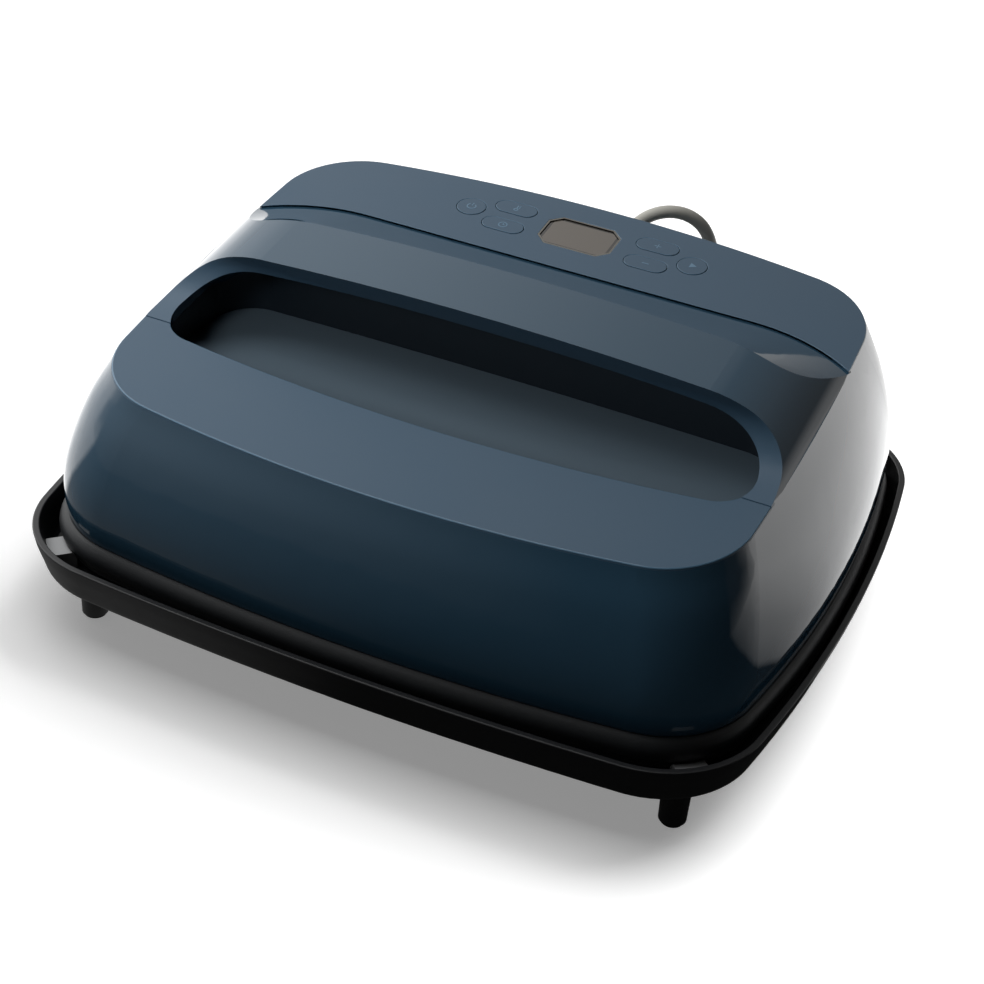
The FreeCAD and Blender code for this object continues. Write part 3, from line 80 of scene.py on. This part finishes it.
# ---- Mains cord ---------------------------------------------------------------------------
# One length of soft round PVC flex, 6.5 mm thick. It arches out of the hood behind the deck,
# drops to the table and is wound into a flat coil of two layers, with its plug beside it.
# Its route and coil are in millimetres, its radius and length in metres.
CORD_RADIUS = 0.00325
CORD_ROUTE = [
    (0.0, 148.9, 103.2), (0.2, 152.7, 113.0), (5.4, 155.6, 123.3), (14.5, 160.6, 129.3),
    (24.9, 166.4, 129.3), (34.0, 171.4, 123.3), (39.2, 174.3, 113.0), (41.0, 175.6, 100.5),
    (41.9, 176.9, 86.0), (42.2, 178.2, 71.5), (41.9, 180.0, 56.5), (41.6, 182.8, 41.5),
    (41.8, 186.6, 27.5), (42.5, 192.4, 14.8), (43.9, 201.8, 6.2), (45.9, 214.5, 3.7),
    (48.6, 229.0, 3.4),
]
TAIL_ROUTE = [(-39.5, 246.8, 9.8), (-43.4, 232.4, 10.6), (-49.6, 218.8, 11.4), (-58.8, 207.0, 12.0)]
MM = 0.001
COIL_CENTRE = (4.0, 235.3)
COIL_START = -8.0          # degrees round the coil where the cord joins it
COIL_SWEEP = 1973.0        # degrees, five turns and a half
COIL_STEP = 15.0
COIL_LOW = 3.3             # height of the lower layer's middle
PITCH = 6.5
OUTER_TURN = 45.0
LOW_LAYER_SHIFT = (262.0, 322.0)     # degrees of a turn over which it moves to the next
TOP_LAYER_SHIFT = (202.0, 262.0)


def eased(value, start, end):
    """0 before start and 1 after end, with a smooth rise between them."""
    share = max(0.0, min(1.0, (value - start) / (end - start)))
    return share * share * (3 - 2 * share)


def coil_point(swept):
    """Point of the coil: three turns inwards on the table, then outwards on top of them."""
    def shifts(turns, span):
        return sum(eased(swept, 360.0 * k + span[0], 360.0 * k + span[1]) for k in turns)

    inwards = shifts((0, 1), LOW_LAYER_SHIFT)
    rise = shifts((2,), LOW_LAYER_SHIFT)
    outwards = shifts((3, 4), TOP_LAYER_SHIFT)
    radius = (OUTER_TURN + PITCH * (outwards - inwards)) / math.cos(math.radians(COIL_STEP / 2))
    angle = math.radians(COIL_START + swept)
    return (COIL_CENTRE[0] + radius * math.cos(angle), COIL_CENTRE[1] + radius * math.sin(angle),
            COIL_LOW + PITCH * rise)


coil_points = [coil_point(COIL_STEP * k) for k in range(1, int(COIL_SWEEP / COIL_STEP))]
cord_points = [Vector(p) * MM for p in CORD_ROUTE + coil_points + TAIL_ROUTE]
cord_curve = bpy.data.curves.new("mains_cord", "CURVE")
cord_curve.dimensions = "3D"
cord_curve.bevel_depth = 1.0     # times the radius of each point, which is the cord's own
cord_curve.bevel_resolution = 6
cord_curve.resolution_u = 8
cord_curve.use_fill_caps = True
spline = cord_curve.splines.new("NURBS")
spline.points.add(len(cord_points) - 1)
for point, spot in zip(spline.points, cord_points):
    point.co = (*spot, 1.0)
    point.radius = CORD_RADIUS
spline.order_u = 3
spline.use_endpoint_u = True
mains_cord = new_object("mains_cord", cord_curve)
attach(mains_cord, "press")
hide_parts("power_cord", "cord_coil", "cord_tail")


def colour(code):
    """Linear colour of a six-figure sRGB code."""
    parts = [int(code[k:k + 2], 16) / 255 for k in (0, 2, 4)]
    return [p / 12.92 if p <= 0.04045 else ((p + 0.055) / 1.055) ** 2.4 for p in parts] + [1.0]


def add(tree, kind, sockets=(), **settings):
    """Adds one node. Each socket gets a value, or a link where the value is another's output."""
    node = tree.nodes.new(kind)
    for name, value in settings.items():
        setattr(node, name, value)
    for name, value in dict(sockets).items():
        if isinstance(value, bpy.types.NodeSocket):
            tree.links.new(value, node.inputs[name])
        else:
            node.inputs[name].default_value = value
    return node


def new_material(name, ior=1.5):
    """Empty material, its node tree and its Principled shader."""
    material = bpy.data.materials.new(name)
    material.use_nodes = True
    shader = material.node_tree.nodes["Principled BSDF"]
    shader.inputs["IOR"].default_value = ior
    return material, material.node_tree, shader


def object_place(tree):
    """Object coordinates, which are the frame's own."""
    return add(tree, "ShaderNodeTexCoord").outputs["Object"]


def cloud(tree, vector, scale, detail=2.0):
    """Soft noise from 0 to 1."""
    return add(tree, "ShaderNodeTexNoise",
               {"Vector": vector, "Scale": scale, "Detail": detail}).outputs["Fac"]


def two_colours(tree, target, share, first, second):
    """Puts a mix of two colours into a socket, with the second one's share."""
    blend = add(tree, "ShaderNodeMix", {"Factor": share}, data_type="RGBA")
    blend.inputs["A"].default_value = first
    blend.inputs["B"].default_value = second
    tree.links.new(blend.outputs["Result"], target)


def vary_roughness(tree, shader, value, low, high, start=0.0, end=1.0):
    """Roughness from low to high while the value goes from start to end."""
    rough = add(tree, "ShaderNodeMapRange", {"Value": value, "From Min": start, "From Max": end,
                                            "To Min": low, "To Max": high})
    tree.links.new(rough.outputs["Result"], shader.inputs["Roughness"])


def add_relief(tree, shader, height, strength, depth=0.00003):
    """Fine relief in a surface, with its depth in metres."""
    bump = add(tree, "ShaderNodeBump", {"Height": height, "Strength": strength, "Distance": depth})
    tree.links.new(bump.outputs["Normal"], shader.inputs["Normal"])


def moulded(name, code, roughness, grain_mm, grain_depth, spread=0.06, mottle=0.0):
    """Moulded plastic or rubber: a slightly clouded colour, and the tool's eroded grain."""
    material, tree, shader = new_material(name)
    broad = cloud(tree, object_place(tree), 14.0, 3.0)
    base = colour(code)
    if mottle:
        dark = [part * (1.0 - mottle) for part in base[:3]] + [1.0]
        pale = [part * (1.0 + mottle) for part in base[:3]] + [1.0]
        two_colours(tree, shader.inputs["Base Color"], broad, dark, pale)
    else:
        shader.inputs["Base Color"].default_value = base
    vary_roughness(tree, shader, broad, roughness - spread / 2, roughness + spread / 2, 0.3, 0.7)
    add_relief(tree, shader, cloud(tree, object_place(tree), 1000.0 / grain_mm), grain_depth)
    return material


def dress(node, material):
    """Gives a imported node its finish."""
    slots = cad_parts[node].data.materials
    slots.clear()
    slots.append(material)


# Warm grey soft PVC, drawn and moulded: a dull sheen and hardly any grain.
cord_pvc = moulded("soft_pvc", "aeaca4", 0.45, 0.5, 0.15, mottle=0.05)
cord_curve.materials.append(cord_pvc)
for node in ("mains_plug", "strain_relief"):
    dress(node, cord_pvc)

# ---- Plug blades --------------------------------------------------------------------------
# Two flat blades of rolled brass, rubbed bright along their length.
brass, tree, shader = new_material("rolled_brass")
shader.inputs["Metallic"].default_value = 1.0
shader.inputs["Base Color"].default_value = colour("d8b977")
lines = add(tree, "ShaderNodeMapping", {"Vector": object_place(tree),
                                       "Scale": (2500.0, 150.0, 2500.0)}).outputs["Vector"]
vary_roughness(tree, shader, cloud(tree, lines, 1.0, 3.0), 0.18, 0.38)
dress("plug_blades", brass)

# ---- Outer shell --------------------------------------------------------------------------
# One ABS moulding: side walls, arched grip and the valley behind it come from the polished part
# of the tool, and the fronts of the grip and of its legs from a grained part, like the lip.
DECK_TILT = math.atan(0.114)
DECK_LIFT = 0.1326         # height of the deck's plane over the middle of the stand
GRIP_CREASE = -0.0246      # v of the grip's front crease
CREASE_REACH = 0.0008      # how far the grain runs past the crease
MATTE_FLOOR = -0.0009      # w below which the moulding is polished all round
FACES_FRONT = -0.03        # v of a face's direction: below this it leans to the front
FACES_DOWN = -0.3          # w of a face's direction: below this it is an underside
POLISHED = 0.045           # roughness
GRAINED = 0.42
FINE_GRAIN = 2800.0        # grains in a metre
SLATE = "30485b"
NAVY = "2a4659"


def deck_place(tree):
    """Object coordinates in the deck's own axes: u across, v up the slope, w proud of it."""
    lift = (0.0, -DECK_LIFT * math.sin(DECK_TILT), -DECK_LIFT * math.cos(DECK_TILT))
    return add(tree, "ShaderNodeMapping", {"Vector": object_place(tree), "Location": lift,
                                          "Rotation": (-DECK_TILT, 0.0, 0.0)}).outputs["Vector"]


def deck_normal(tree):
    """Direction of the bare face in the deck's own axes."""
    facing = add(tree, "ShaderNodeNewGeometry").outputs["True Normal"]
    return add(tree, "ShaderNodeVectorRotate", {"Vector": facing, "Angle": -DECK_TILT},
               rotation_type="X_AXIS").outputs["Vector"]


def axes_of(tree, vector):
    """The X, Y and Z outputs of a vector."""
    return add(tree, "ShaderNodeSeparateXYZ", {"Vector": vector}).outputs


def reckon(tree, operation, first, second=0.0):
    """The outcome of one sum."""
    return add(tree, "ShaderNodeMath", {0: first, 1: second}, operation=operation).outputs[0]


def all_of(tree, tests):
    """1 where every test holds: each is a value, the limit and LESS_THAN or GREATER_THAN."""
    held = None
    for value, limit, side in tests:
        test = reckon(tree, side, value, limit)
        held = reckon(tree, "MULTIPLY", held, test) if held else test
    return held


shell_abs, tree, shader = new_material("navy_abs_polished_and_grained")
at = axes_of(tree, deck_place(tree))
facing = axes_of(tree, deck_normal(tree))
matte = all_of(tree, [(at["Z"], MATTE_FLOOR, "GREATER_THAN"),
                      (at["Y"], GRIP_CREASE + CREASE_REACH, "LESS_THAN"),
                      (facing["Y"], FACES_FRONT, "LESS_THAN"),
                      (facing["Z"], FACES_DOWN, "GREATER_THAN")])
two_colours(tree, shader.inputs["Base Color"], matte, colour(NAVY), colour(SLATE))
vary_roughness(tree, shader, matte, POLISHED, GRAINED)
add_relief(tree, shader, cloud(tree, object_place(tree), FINE_GRAIN),
           reckon(tree, "MULTIPLY", matte, 0.25))
dress("outer_shell", shell_abs)

# ---- Lip, control deck and keys -----------------------------------------------------------
# Slate-navy ABS with a fine eroded grain. Each edge has a small rounding that the tool leaves
# smoother than the face, and its strip is painted paler as a painted highlight, so the outline of
# every panel and key catches the light.
EDGE = 0.0005              # width of the rounding
KEY_EDGE = 0.0002
LEG_FOOT = -0.0575         # v where the lip runs into the grip's legs, flush and unbroken
LEG_SLACK = 0.001
WELD = 0.000002
FLAT_ANGLE = math.radians(0.4)
SHARP_ANGLE = math.radians(40)
TOP_SLACK = 0.00005
DECK_START = 0.05          # v from which a slate piece is the deck
DECK_UNDER = -0.0002       # w below which its front side is under its edge
STEEP_FRONT = -0.5         # v of a face's direction, below which it is that front side
slate = moulded("slate_abs_fine_grain", SLATE, GRAINED, 0.35, 0.25, mottle=0.02)
# The deck's front edge hangs over the valley, and under it the moulding is painted near black:
# painted shade of the gap.
tree = slate.node_tree
at = axes_of(tree, deck_place(tree))
facing = axes_of(tree, deck_normal(tree))
# Mask of the steep front faces under the deck's edge, which get the painted shade 080c10.
under = all_of(tree, [(at["Z"], DECK_UNDER, "LESS_THAN"), (at["Y"], DECK_START, "GREATER_THAN"),
                      (facing["Y"], STEEP_FRONT, "LESS_THAN")])
base_socket = tree.nodes["Principled BSDF"].inputs["Base Color"]
painted_gap_shade = add(tree, "ShaderNodeMix", {"Factor": under}, data_type="RGBA")
tree.links.new(base_socket.links[0].from_socket, painted_gap_shade.inputs["A"])
painted_gap_shade.inputs["B"].default_value = colour("080c10")
tree.links.new(painted_gap_shade.outputs["Result"], base_socket)
# The paler colour of the edge strips is a painted highlight; their lower roughness is the smoother
# finish.
slate_edge_painted_highlight = moulded("slate_abs_smooth_edge_painted_highlight", "4a687e", 0.16, 0.35, 0.05, mottle=0.02)
deck_frame = Matrix.Translation((0.0, 0.0, DECK_LIFT)) @ Matrix.Rotation(DECK_TILT, 4, "X")
from_deck = deck_frame.inverted()


def mesh_of(maker, name):
    """The finished mesh of a bmesh, which is freed."""
    mesh = bpy.data.meshes.new(name)
    maker.to_mesh(mesh)
    maker.free()
    return mesh


def round_edges(node, body, width):
    """The node's own form with the edges of its top face rounded, to stand for it."""
    maker = bmesh.new()
    maker.from_mesh(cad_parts[node].data)
    bmesh.ops.remove_doubles(maker, verts=maker.verts, dist=WELD)
    bmesh.ops.dissolve_limit(maker, angle_limit=FLAT_ANGLE, verts=maker.verts, edges=maker.edges)
    top = max((from_deck @ vert.co).z for vert in maker.verts)
    edges = [edge for edge in maker.edges
             if edge.is_manifold and edge.calc_face_angle() > SHARP_ANGLE
             and all((from_deck @ vert.co).z > top - TOP_SLACK for vert in edge.verts)
             and not all(LEG_FOOT - LEG_SLACK < (from_deck @ vert.co).y < 0.0
                     for vert in edge.verts)]
    made = bmesh.ops.bevel(maker, geom=edges, offset=width, offset_type="OFFSET", segments=3,
                           profile=0.5, affect="EDGES", clamp_overlap=True, material=-1)
    for face in maker.faces:
        face.smooth = False
    for face in made["faces"]:
        face.smooth = True
        face.material_index = 1
    mesh = mesh_of(maker, node + "_finished")
    mesh.materials.append(slate)
    mesh.materials.append(slate_edge_painted_highlight)
    piece = new_object(node + "_finished", mesh)
    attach(piece, body)
    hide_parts(node)


for node in ("grip_panel", "control_deck"):
    round_edges(node, "press", EDGE)
for node in ("power_button", "temperature_button", "timer_button", "plus_button", "minus_button",
             "start_button"):
    round_edges(node, node, KEY_EDGE)

# ---- Marks on the keys --------------------------------------------------------------------
# Plain signs moulded a hair proud of each key and rubbed paler than the key round them. They
# are drawn in millimetres about the key's middle.
KEY_PROUD = 0.15           # height of the keys over the deck
MARK_HIGH = 0.08
MARK_SUNK = 0.02           # how deep a sign's foot is in the key
MARK_LINE = 0.55           # width of a sign's lines
mark_abs = moulded("mark_abs_rubbed", "56748a", 0.36, 0.35, 0.1, mottle=0.02)


def bar(maker, u, v, length, degrees=0.0):
    """A straight line of a sign, by its middle."""
    spot = Matrix.Translation((u, v, 0.0)) @ Matrix.Rotation(math.radians(degrees), 4, "Z")
    size = Matrix.Diagonal((length, MARK_LINE, MARK_HIGH, 1.0))
    bmesh.ops.create_cube(maker, size=1.0, matrix=spot @ size)


def ring(maker, u, v, radius, start=0.0, sweep=360.0):
    """A round line of a sign: its square section spun about the middle."""
    half = MARK_LINE / 2
    section = [(radius - half, -MARK_HIGH / 2), (radius + half, -MARK_HIGH / 2),
               (radius + half, MARK_HIGH / 2), (radius - half, MARK_HIGH / 2)]
    spot = Matrix.Translation((u, v, 0.0)) @ Matrix.Rotation(math.radians(start), 4, "Z")
    corners = [maker.verts.new(spot @ Vector((x, 0.0, z))) for x, z in section]
    sides = [maker.edges.new((corners[k], corners[k - 1])) for k in range(4)]
    full = sweep >= 360.0
    bmesh.ops.spin(maker, geom=corners + sides, cent=(u, v, 0.0), axis=(0.0, 0.0, 1.0),
                   dvec=(0.0, 0.0, 0.0), angle=math.radians(sweep), steps=28, use_merge=full,
                   use_duplicate=False)
    if not full:
        ends = [edge for edge in maker.edges if edge.is_boundary]
        bmesh.ops.holes_fill(maker, edges=ends, sides=4)


def power_mark(maker):
    ring(maker, 0.0, 0.0, 2.1, start=125.0, sweep=290.0)
    bar(maker, 0.0, 1.7, 2.2, 90.0)


def temperature_mark(maker):
    ring(maker, 0.0, -1.1, 0.95)
    bar(maker, 0.0, 1.1, 2.6, 90.0)
    for step in (0.4, 1.3, 2.2):
        bar(maker, 1.1, step, 0.7)


def timer_mark(maker):
    ring(maker, 0.0, 0.0, 2.0)
    bar(maker, 0.0, 0.6, 1.2, 90.0)
    bar(maker, 0.5, 0.0, 1.0)


def plus_mark(maker):
    bar(maker, 0.0, 0.0, 3.4)
    bar(maker, 0.0, 0.0, 3.4, 90.0)


def minus_mark(maker):
    bar(maker, 0.0, 0.0, 3.4)


def start_mark(maker):
    bmesh.ops.create_cone(maker, cap_ends=True, segments=3, radius1=2.2, radius2=2.2,
                          depth=MARK_HIGH, matrix=Matrix.Rotation(math.radians(-90.0), 4, "Z"))


for node, draw in (("power_button", power_mark), ("temperature_button", temperature_mark),
                   ("timer_button", timer_mark), ("plus_button", plus_mark),
                   ("minus_button", minus_mark), ("start_button", start_mark)):
    low, high = (Vector(corner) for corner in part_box(node))
    middle = from_deck @ ((low + high) / 2)
    maker = bmesh.new()
    draw(maker)
    bmesh.ops.recalc_face_normals(maker, faces=maker.faces)
    bmesh.ops.scale(maker, vec=(MM, MM, MM), verts=maker.verts)
    lift = (KEY_PROUD + MARK_HIGH / 2 - MARK_SUNK) * MM
    onto_key = deck_frame @ Matrix.Translation((middle.x, middle.y, lift))
    bmesh.ops.transform(maker, matrix=onto_key, verts=maker.verts)
    mesh = mesh_of(maker, node + "_sign")
    mesh.materials.append(mark_abs)
    sign = new_object(node + "_sign", mesh)
    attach(sign, node)

# ---- Display ------------------------------------------------------------------------------
# A plated frame set in the deck round a tinted pane, which is darkened round its border with
# painted shade of the recess, with the unlit grey display under it.
plated, tree, shader = new_material("satin_plated_abs")
shader.inputs["Metallic"].default_value = 1.0
shader.inputs["Base Color"].default_value = colour("6f6d68")
vary_roughness(tree, shader, cloud(tree, object_place(tree), 600.0), 0.16, 0.3)
dress("lcd_bezel", plated)

LCD_V = 0.089              # v of the pane's middle
LCD_BORDER_U = 0.0160      # half lengths of the pane's clear middle, inside its dark border
LCD_BORDER_V = 0.0100
pane, tree, shader = new_material("tinted_acrylic_pane_painted_shade_border", ior=1.49)
shader.inputs["Roughness"].default_value = 0.16
at = axes_of(tree, deck_place(tree))
across = reckon(tree, "ABSOLUTE", at["X"])
along = reckon(tree, "ABSOLUTE", reckon(tree, "SUBTRACT", at["Y"], LCD_V))
# Outside this clear middle the pane is dark: painted shade of the bezel's recess.
glass = all_of(tree, [(across, LCD_BORDER_U, "LESS_THAN"), (along, LCD_BORDER_V, "LESS_THAN")])
two_colours(tree, shader.inputs["Base Color"], glass, colour("35322f"), colour("5f5952"))
dress("lcd_window", pane)
dress("lcd_module", moulded("unlit_display", "5c5953", 0.5, 0.4, 0.1))

# ---- Finger well --------------------------------------------------------------------------
# A separate deep tray under the grip: its sloped floor is grained slate like the lip, and its steep
# sides are near black, partly a dark plastic and partly painted shade of the deep recess.
well_abs, tree, shader = new_material("well_abs_two_tone_painted_shade")
up = axes_of(tree, deck_normal(tree))["Z"]
# Faces turned away from up take the near black, which is partly painted shade.
floor_share = add(tree, "ShaderNodeMapRange", {"Value": up, "From Min": 0.55, "From Max": 0.8})
two_colours(tree, shader.inputs["Base Color"], floor_share.outputs["Result"], colour("10161c"),
            colour("46525b"))
vary_roughness(tree, shader, cloud(tree, object_place(tree), 30.0), 0.36, 0.46)
add_relief(tree, shader, cloud(tree, object_place(tree), FINE_GRAIN), 0.2)
dress("finger_well", well_abs)

# ---- Skirt and stand ----------------------------------------------------------------------
# The stand is black glass-filled nylon, dull and slightly clouded, and the skirt a charcoal
# heat-resistant plastic.
black_nylon = moulded("black_glass_filled_nylon", "111214", 0.44, 0.45, 0.3, mottle=0.1)
for node in ("stand_tray", "stand_feet"):
    dress(node, black_nylon)
dress("lower_housing", moulded("charcoal_pps_skirt", "1c1e20", 0.55, 0.5, 0.25, mottle=0.08))
# Pale silicone of the corner locators and rest discs: soft, waxy and faintly dusty.
pale_silicone = moulded("pale_silicone", "8e8f90", 0.55, 0.6, 0.1, mottle=0.06)
for node in ("corner_locators", "rest_pads"):
    dress(node, pale_silicone)
# Black rubber of the foot pads, matte, with a coarse scuffed grain.
dress("foot_pads", moulded("black_foot_rubber", "1b1b1b", 0.75, 0.8, 0.5, mottle=0.15))


def worked_metal(name, code, low, high, scale_mm):
    """Metal with a worked surface: its fine lines are `scale_mm` apart along X, Y and Z."""
    material, tree, shader = new_material(name)
    shader.inputs["Metallic"].default_value = 1.0
    shader.inputs["Base Color"].default_value = colour(code)
    stretch = add(tree, "ShaderNodeMapping", {"Vector": object_place(tree),
                                             "Scale": tuple(1000.0 / mm for mm in scale_mm)})
    lines = cloud(tree, stretch.outputs["Vector"], 1.0, 3.0)
    vary_roughness(tree, shader, lines, low, high, 0.3, 0.7)
    add_relief(tree, shader, lines, 0.15, 0.00002)
    return material


# ---- Heat plate and its fixings -----------------------------------------------------------
# The plate is ground aluminium, the element a dull steel tube, the shield folded steel sheet
# brushed along its length, and the screws are bright zinc-plated steel.
dress("heat_plate", worked_metal("ground_aluminium", "c9cacb", 0.22, 0.36, (12.0, 0.5, 0.5)))
dress("heat_shield", worked_metal("brushed_steel_sheet", "b4b4b4", 0.26, 0.44, (14.0, 0.4, 0.4)))
for node in ("heating_element", "plate_standoffs"):
    dress(node, worked_metal("annealed_steel", "8b8780", 0.4, 0.6, (1.5, 1.5, 1.5)))
zinc = worked_metal("zinc_plated_steel", "c3c4c6", 0.2, 0.34, (0.8, 0.8, 0.8))
for node in ("stand_screws", "housing_screws", "control_board_screws", "power_board_screws"):
    dress(node, zinc)
dress("plate_insulation",
      moulded("pressed_mineral_fibre", "cfc8b8", 0.95, 1.2, 0.9, mottle=0.12))

# ---- Circuit boards and their parts -------------------------------------------------------
# Glass-epoxy boards under green solder mask, through which the copper tracks show paler.
TRACK_PITCH = 2.54         # millimetres
ROWS_A_UNIT = 4            # rows of the texture's bricks, which stand for the tracks
MASK_GREEN = colour("1f5a36")
board, tree, shader = new_material("solder_masked_board")
shader.inputs["Roughness"].default_value = 0.3
tracks = add(tree, "ShaderNodeTexBrick", {"Vector": object_place(tree),
                                         "Scale": 1000.0 / TRACK_PITCH / ROWS_A_UNIT,
                                         "Color1": MASK_GREEN, "Color2": MASK_GREEN,
                                         "Mortar": colour("3b7d4c"), "Mortar Size": 0.04})
tree.links.new(tracks.outputs["Color"], shader.inputs["Base Color"])
for node in ("control_board", "power_board"):
    dress(node, board)
moulded_parts = moulded("moulded_component", "26272a", 0.45, 0.6, 0.2, mottle=0.1)
for node in ("power_transformer", "heating_relay", "board_capacitors", "thermal_cutout",
             "thermistor", "tact_switches", "beeper"):
    dress(node, moulded_parts)

# ---- Room ---------------------------------------------------------------------------------
# A white paper floor under soft light. The gloss mirrors a room that is dark at the front and
# the front right, and bright at the left and on the floor at the right rear.
FLOOR_REACH = 12.0         # from its middle to each side
floor_maker = bmesh.new()
bmesh.ops.create_grid(floor_maker, x_segments=1, y_segments=1, size=FLOOR_REACH)
floor = new_object("floor", mesh_of(floor_maker, "floor"))

# Bearing in degrees and brightness, of the room and of its floor: 0 faces the front, and
# bearings grow to the right. The gloss mirrors these tones times TONE_SCALE.
ROOM_TONES = [(-180.0, 0.05), (-162.0, 0.10), (-150.0, 0.15), (-142.0, 0.18), (-120.0, 0.34),
              (-90.0, 0.36), (-84.0, 0.12), (-45.0, 0.11), (-22.0, 0.05), (-4.0, 0.004),
              (90.0, 0.003), (93.0, 0.01), (120.0, 0.02), (150.0, 0.05), (180.0, 0.05)]
FLOOR_TONES = [(-180.0, 0.10), (-165.0, 0.09), (-150.0, 0.12), (-135.0, 0.30), (-120.0, 0.40),
               (-76.0, 0.36), (-72.0, 0.06), (-45.0, 0.045), (-22.0, 0.02), (-4.0, 0.004),
               (90.0, 0.003), (93.0, 0.06), (106.0, 0.14), (122.0, 0.30), (145.0, 0.44),
               (165.0, 0.15), (180.0, 0.10)]
TONE_SCALE = 5.0
FILL = 0.15                # share of the room's tones that falls on rough surfaces
FLOOR_WHITE = 0.92         # as the camera sees it
FLOOR_BOUNCE = 0.2         # what it throws back at the press
FLOOR_LIFT = 0.26          # glow that keeps the open floor white


def studio_tone(tree, x, y, steps):
    """Brightness round the studio by the bearing of the point x, y."""
    bearing = reckon(tree, "ARCTAN2", x, reckon(tree, "MULTIPLY", y, -1.0))
    share = add(tree, "ShaderNodeMapRange", {"Value": bearing, "From Min": -math.pi,
                                            "From Max": math.pi})
    ramp = add(tree, "ShaderNodeValToRGB", {"Fac": share.outputs["Result"]})
    stops = ramp.color_ramp.elements
    while len(stops) < len(steps):
        stops.new(0.5)
    for stop, (degrees, tone) in zip(stops, steps):
        stop.position = (degrees + 180.0) / 360.0
        stop.color = (tone, tone, tone, 1.0)
    return ramp.outputs["Color"]


def scaled(tree, vector, scale):
    """A colour times a number."""
    return add(tree, "ShaderNodeVectorMath", {0: vector, "Scale": scale},
               operation="SCALE").outputs[0]


def grey(tone):
    """Linear grey of this brightness."""
    return (tone, tone, tone, 1.0)


paper, tree, shader = new_material("white_paper")
tree.nodes.remove(shader)
ray = add(tree, "ShaderNodeLightPath").outputs
spot = axes_of(tree, object_place(tree))
tone = studio_tone(tree, spot["X"], spot["Y"], FLOOR_TONES)
sheet = add(tree, "ShaderNodeBsdfDiffuse")
two_colours(tree, sheet.inputs["Color"], ray["Is Camera Ray"], grey(FLOOR_BOUNCE),
            grey(FLOOR_WHITE))
mirror_tone = add(tree, "ShaderNodeEmission", {"Color": tone, "Strength": TONE_SCALE})
lift = reckon(tree, "MULTIPLY", ray["Is Camera Ray"], FLOOR_LIFT)
glow = add(tree, "ShaderNodeEmission", {"Color": grey(1.0), "Strength": lift})
seen = add(tree, "ShaderNodeAddShader", {0: sheet.outputs[0], 1: glow.outputs[0]})
either = add(tree, "ShaderNodeMixShader", {0: ray["Is Glossy Ray"], 1: seen.outputs[0],
                                           2: mirror_tone.outputs[0]})
tree.links.new(either.outputs[0], tree.nodes["Material Output"].inputs["Surface"])
floor.data.materials.append(paper)

# The world has the floor's tones at the horizon, the room's higher up, and a paler ceiling.
world = bpy.data.worlds.new("studio")
scene.world = world
world.use_nodes = True
tree = world.node_tree
ray = add(tree, "ShaderNodeLightPath").outputs
way = axes_of(tree, add(tree, "ShaderNodeTexCoord").outputs["Generated"])
low = studio_tone(tree, way["X"], way["Y"], FLOOR_TONES)
high = studio_tone(tree, way["X"], way["Y"], ROOM_TONES)
rise = add(tree, "ShaderNodeMapRange", {"Value": way["Z"], "From Min": -0.1, "From Max": 0.20})
room = add(tree, "ShaderNodeMix", {"Factor": rise.outputs["Result"]}, data_type="RGBA")
tree.links.new(low, room.inputs["A"])
tree.links.new(high, room.inputs["B"])
overhead = add(tree, "ShaderNodeMapRange", {"Value": way["Z"], "From Min": 0.2, "From Max": 0.75,
                                           "To Min": 1.0, "To Max": 1.6})
studio = scaled(tree, room.outputs["Result"], overhead.outputs["Result"])
fill = add(tree, "ShaderNodeMix", {"Factor": ray["Is Glossy Ray"]}, data_type="RGBA")
tree.links.new(scaled(tree, studio, TONE_SCALE * FILL), fill.inputs["A"])
tree.links.new(scaled(tree, studio, TONE_SCALE), fill.inputs["B"])
backdrop = reckon(tree, "MAXIMUM", ray["Is Camera Ray"], ray["Is Transmission Ray"])
shown = add(tree, "ShaderNodeMix", {"Factor": backdrop}, data_type="RGBA")
tree.links.new(fill.outputs["Result"], shown.inputs["A"])
shown.inputs["B"].default_value = grey(1.0)
tree.links.new(shown.outputs["Result"], tree.nodes["Background"].inputs["Color"])

# Softboxes. Each lights only its own collection, so the floor's shadow and the press's light
# are set apart.
floor_only = bpy.data.collections.new("floor_only")
floor_only.objects.link(floor)
press_only = bpy.data.collections.new("all_but_floor")
press_only.objects.link(floor)
press_only.collection_objects[0].light_linking.link_state = "EXCLUDE"
well_only = bpy.data.collections.new("well_only")
well_only.objects.link(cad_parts["finger_well"])
LAMP_AIM = Vector((0.0, 0.0, 0.05))
# name, width, height, power in watts, place, what it lights
LAMPS = [("overhead_softbox", 0.6, 0.6, 8.0, (-0.55, -0.10, 0.85), press_only),
         ("front_softbox", 0.5, 0.4, 0.9, (-0.45, -0.45, 0.75), press_only),
         ("well_softbox", 0.2, 0.2, 5.0, (-0.25, -0.85, 0.60), well_only),
         ("floor_softbox", 1.5, 1.2, 42.0, (0.65, 0.92, 1.90), floor_only),
         ("floor_fill_softbox", 1.6, 1.6, 22.0, (0.00, -0.20, 2.20), floor_only)]
for name, width, height, power, place, lit in LAMPS:
    lamp = new_object(name, bpy.data.lights.new(name, "AREA"))
    lamp.data.shape = "RECTANGLE"
    lamp.data.size = width
    lamp.data.size_y = height
    lamp.data.energy = power
    lamp.location = place
    lamp.rotation_euler = (LAMP_AIM - lamp.location).to_track_quat("-Z", "Y").to_euler()
    lamp.visible_glossy = False
    lamp.visible_camera = False
    lamp.light_linking.receiver_collection = lit
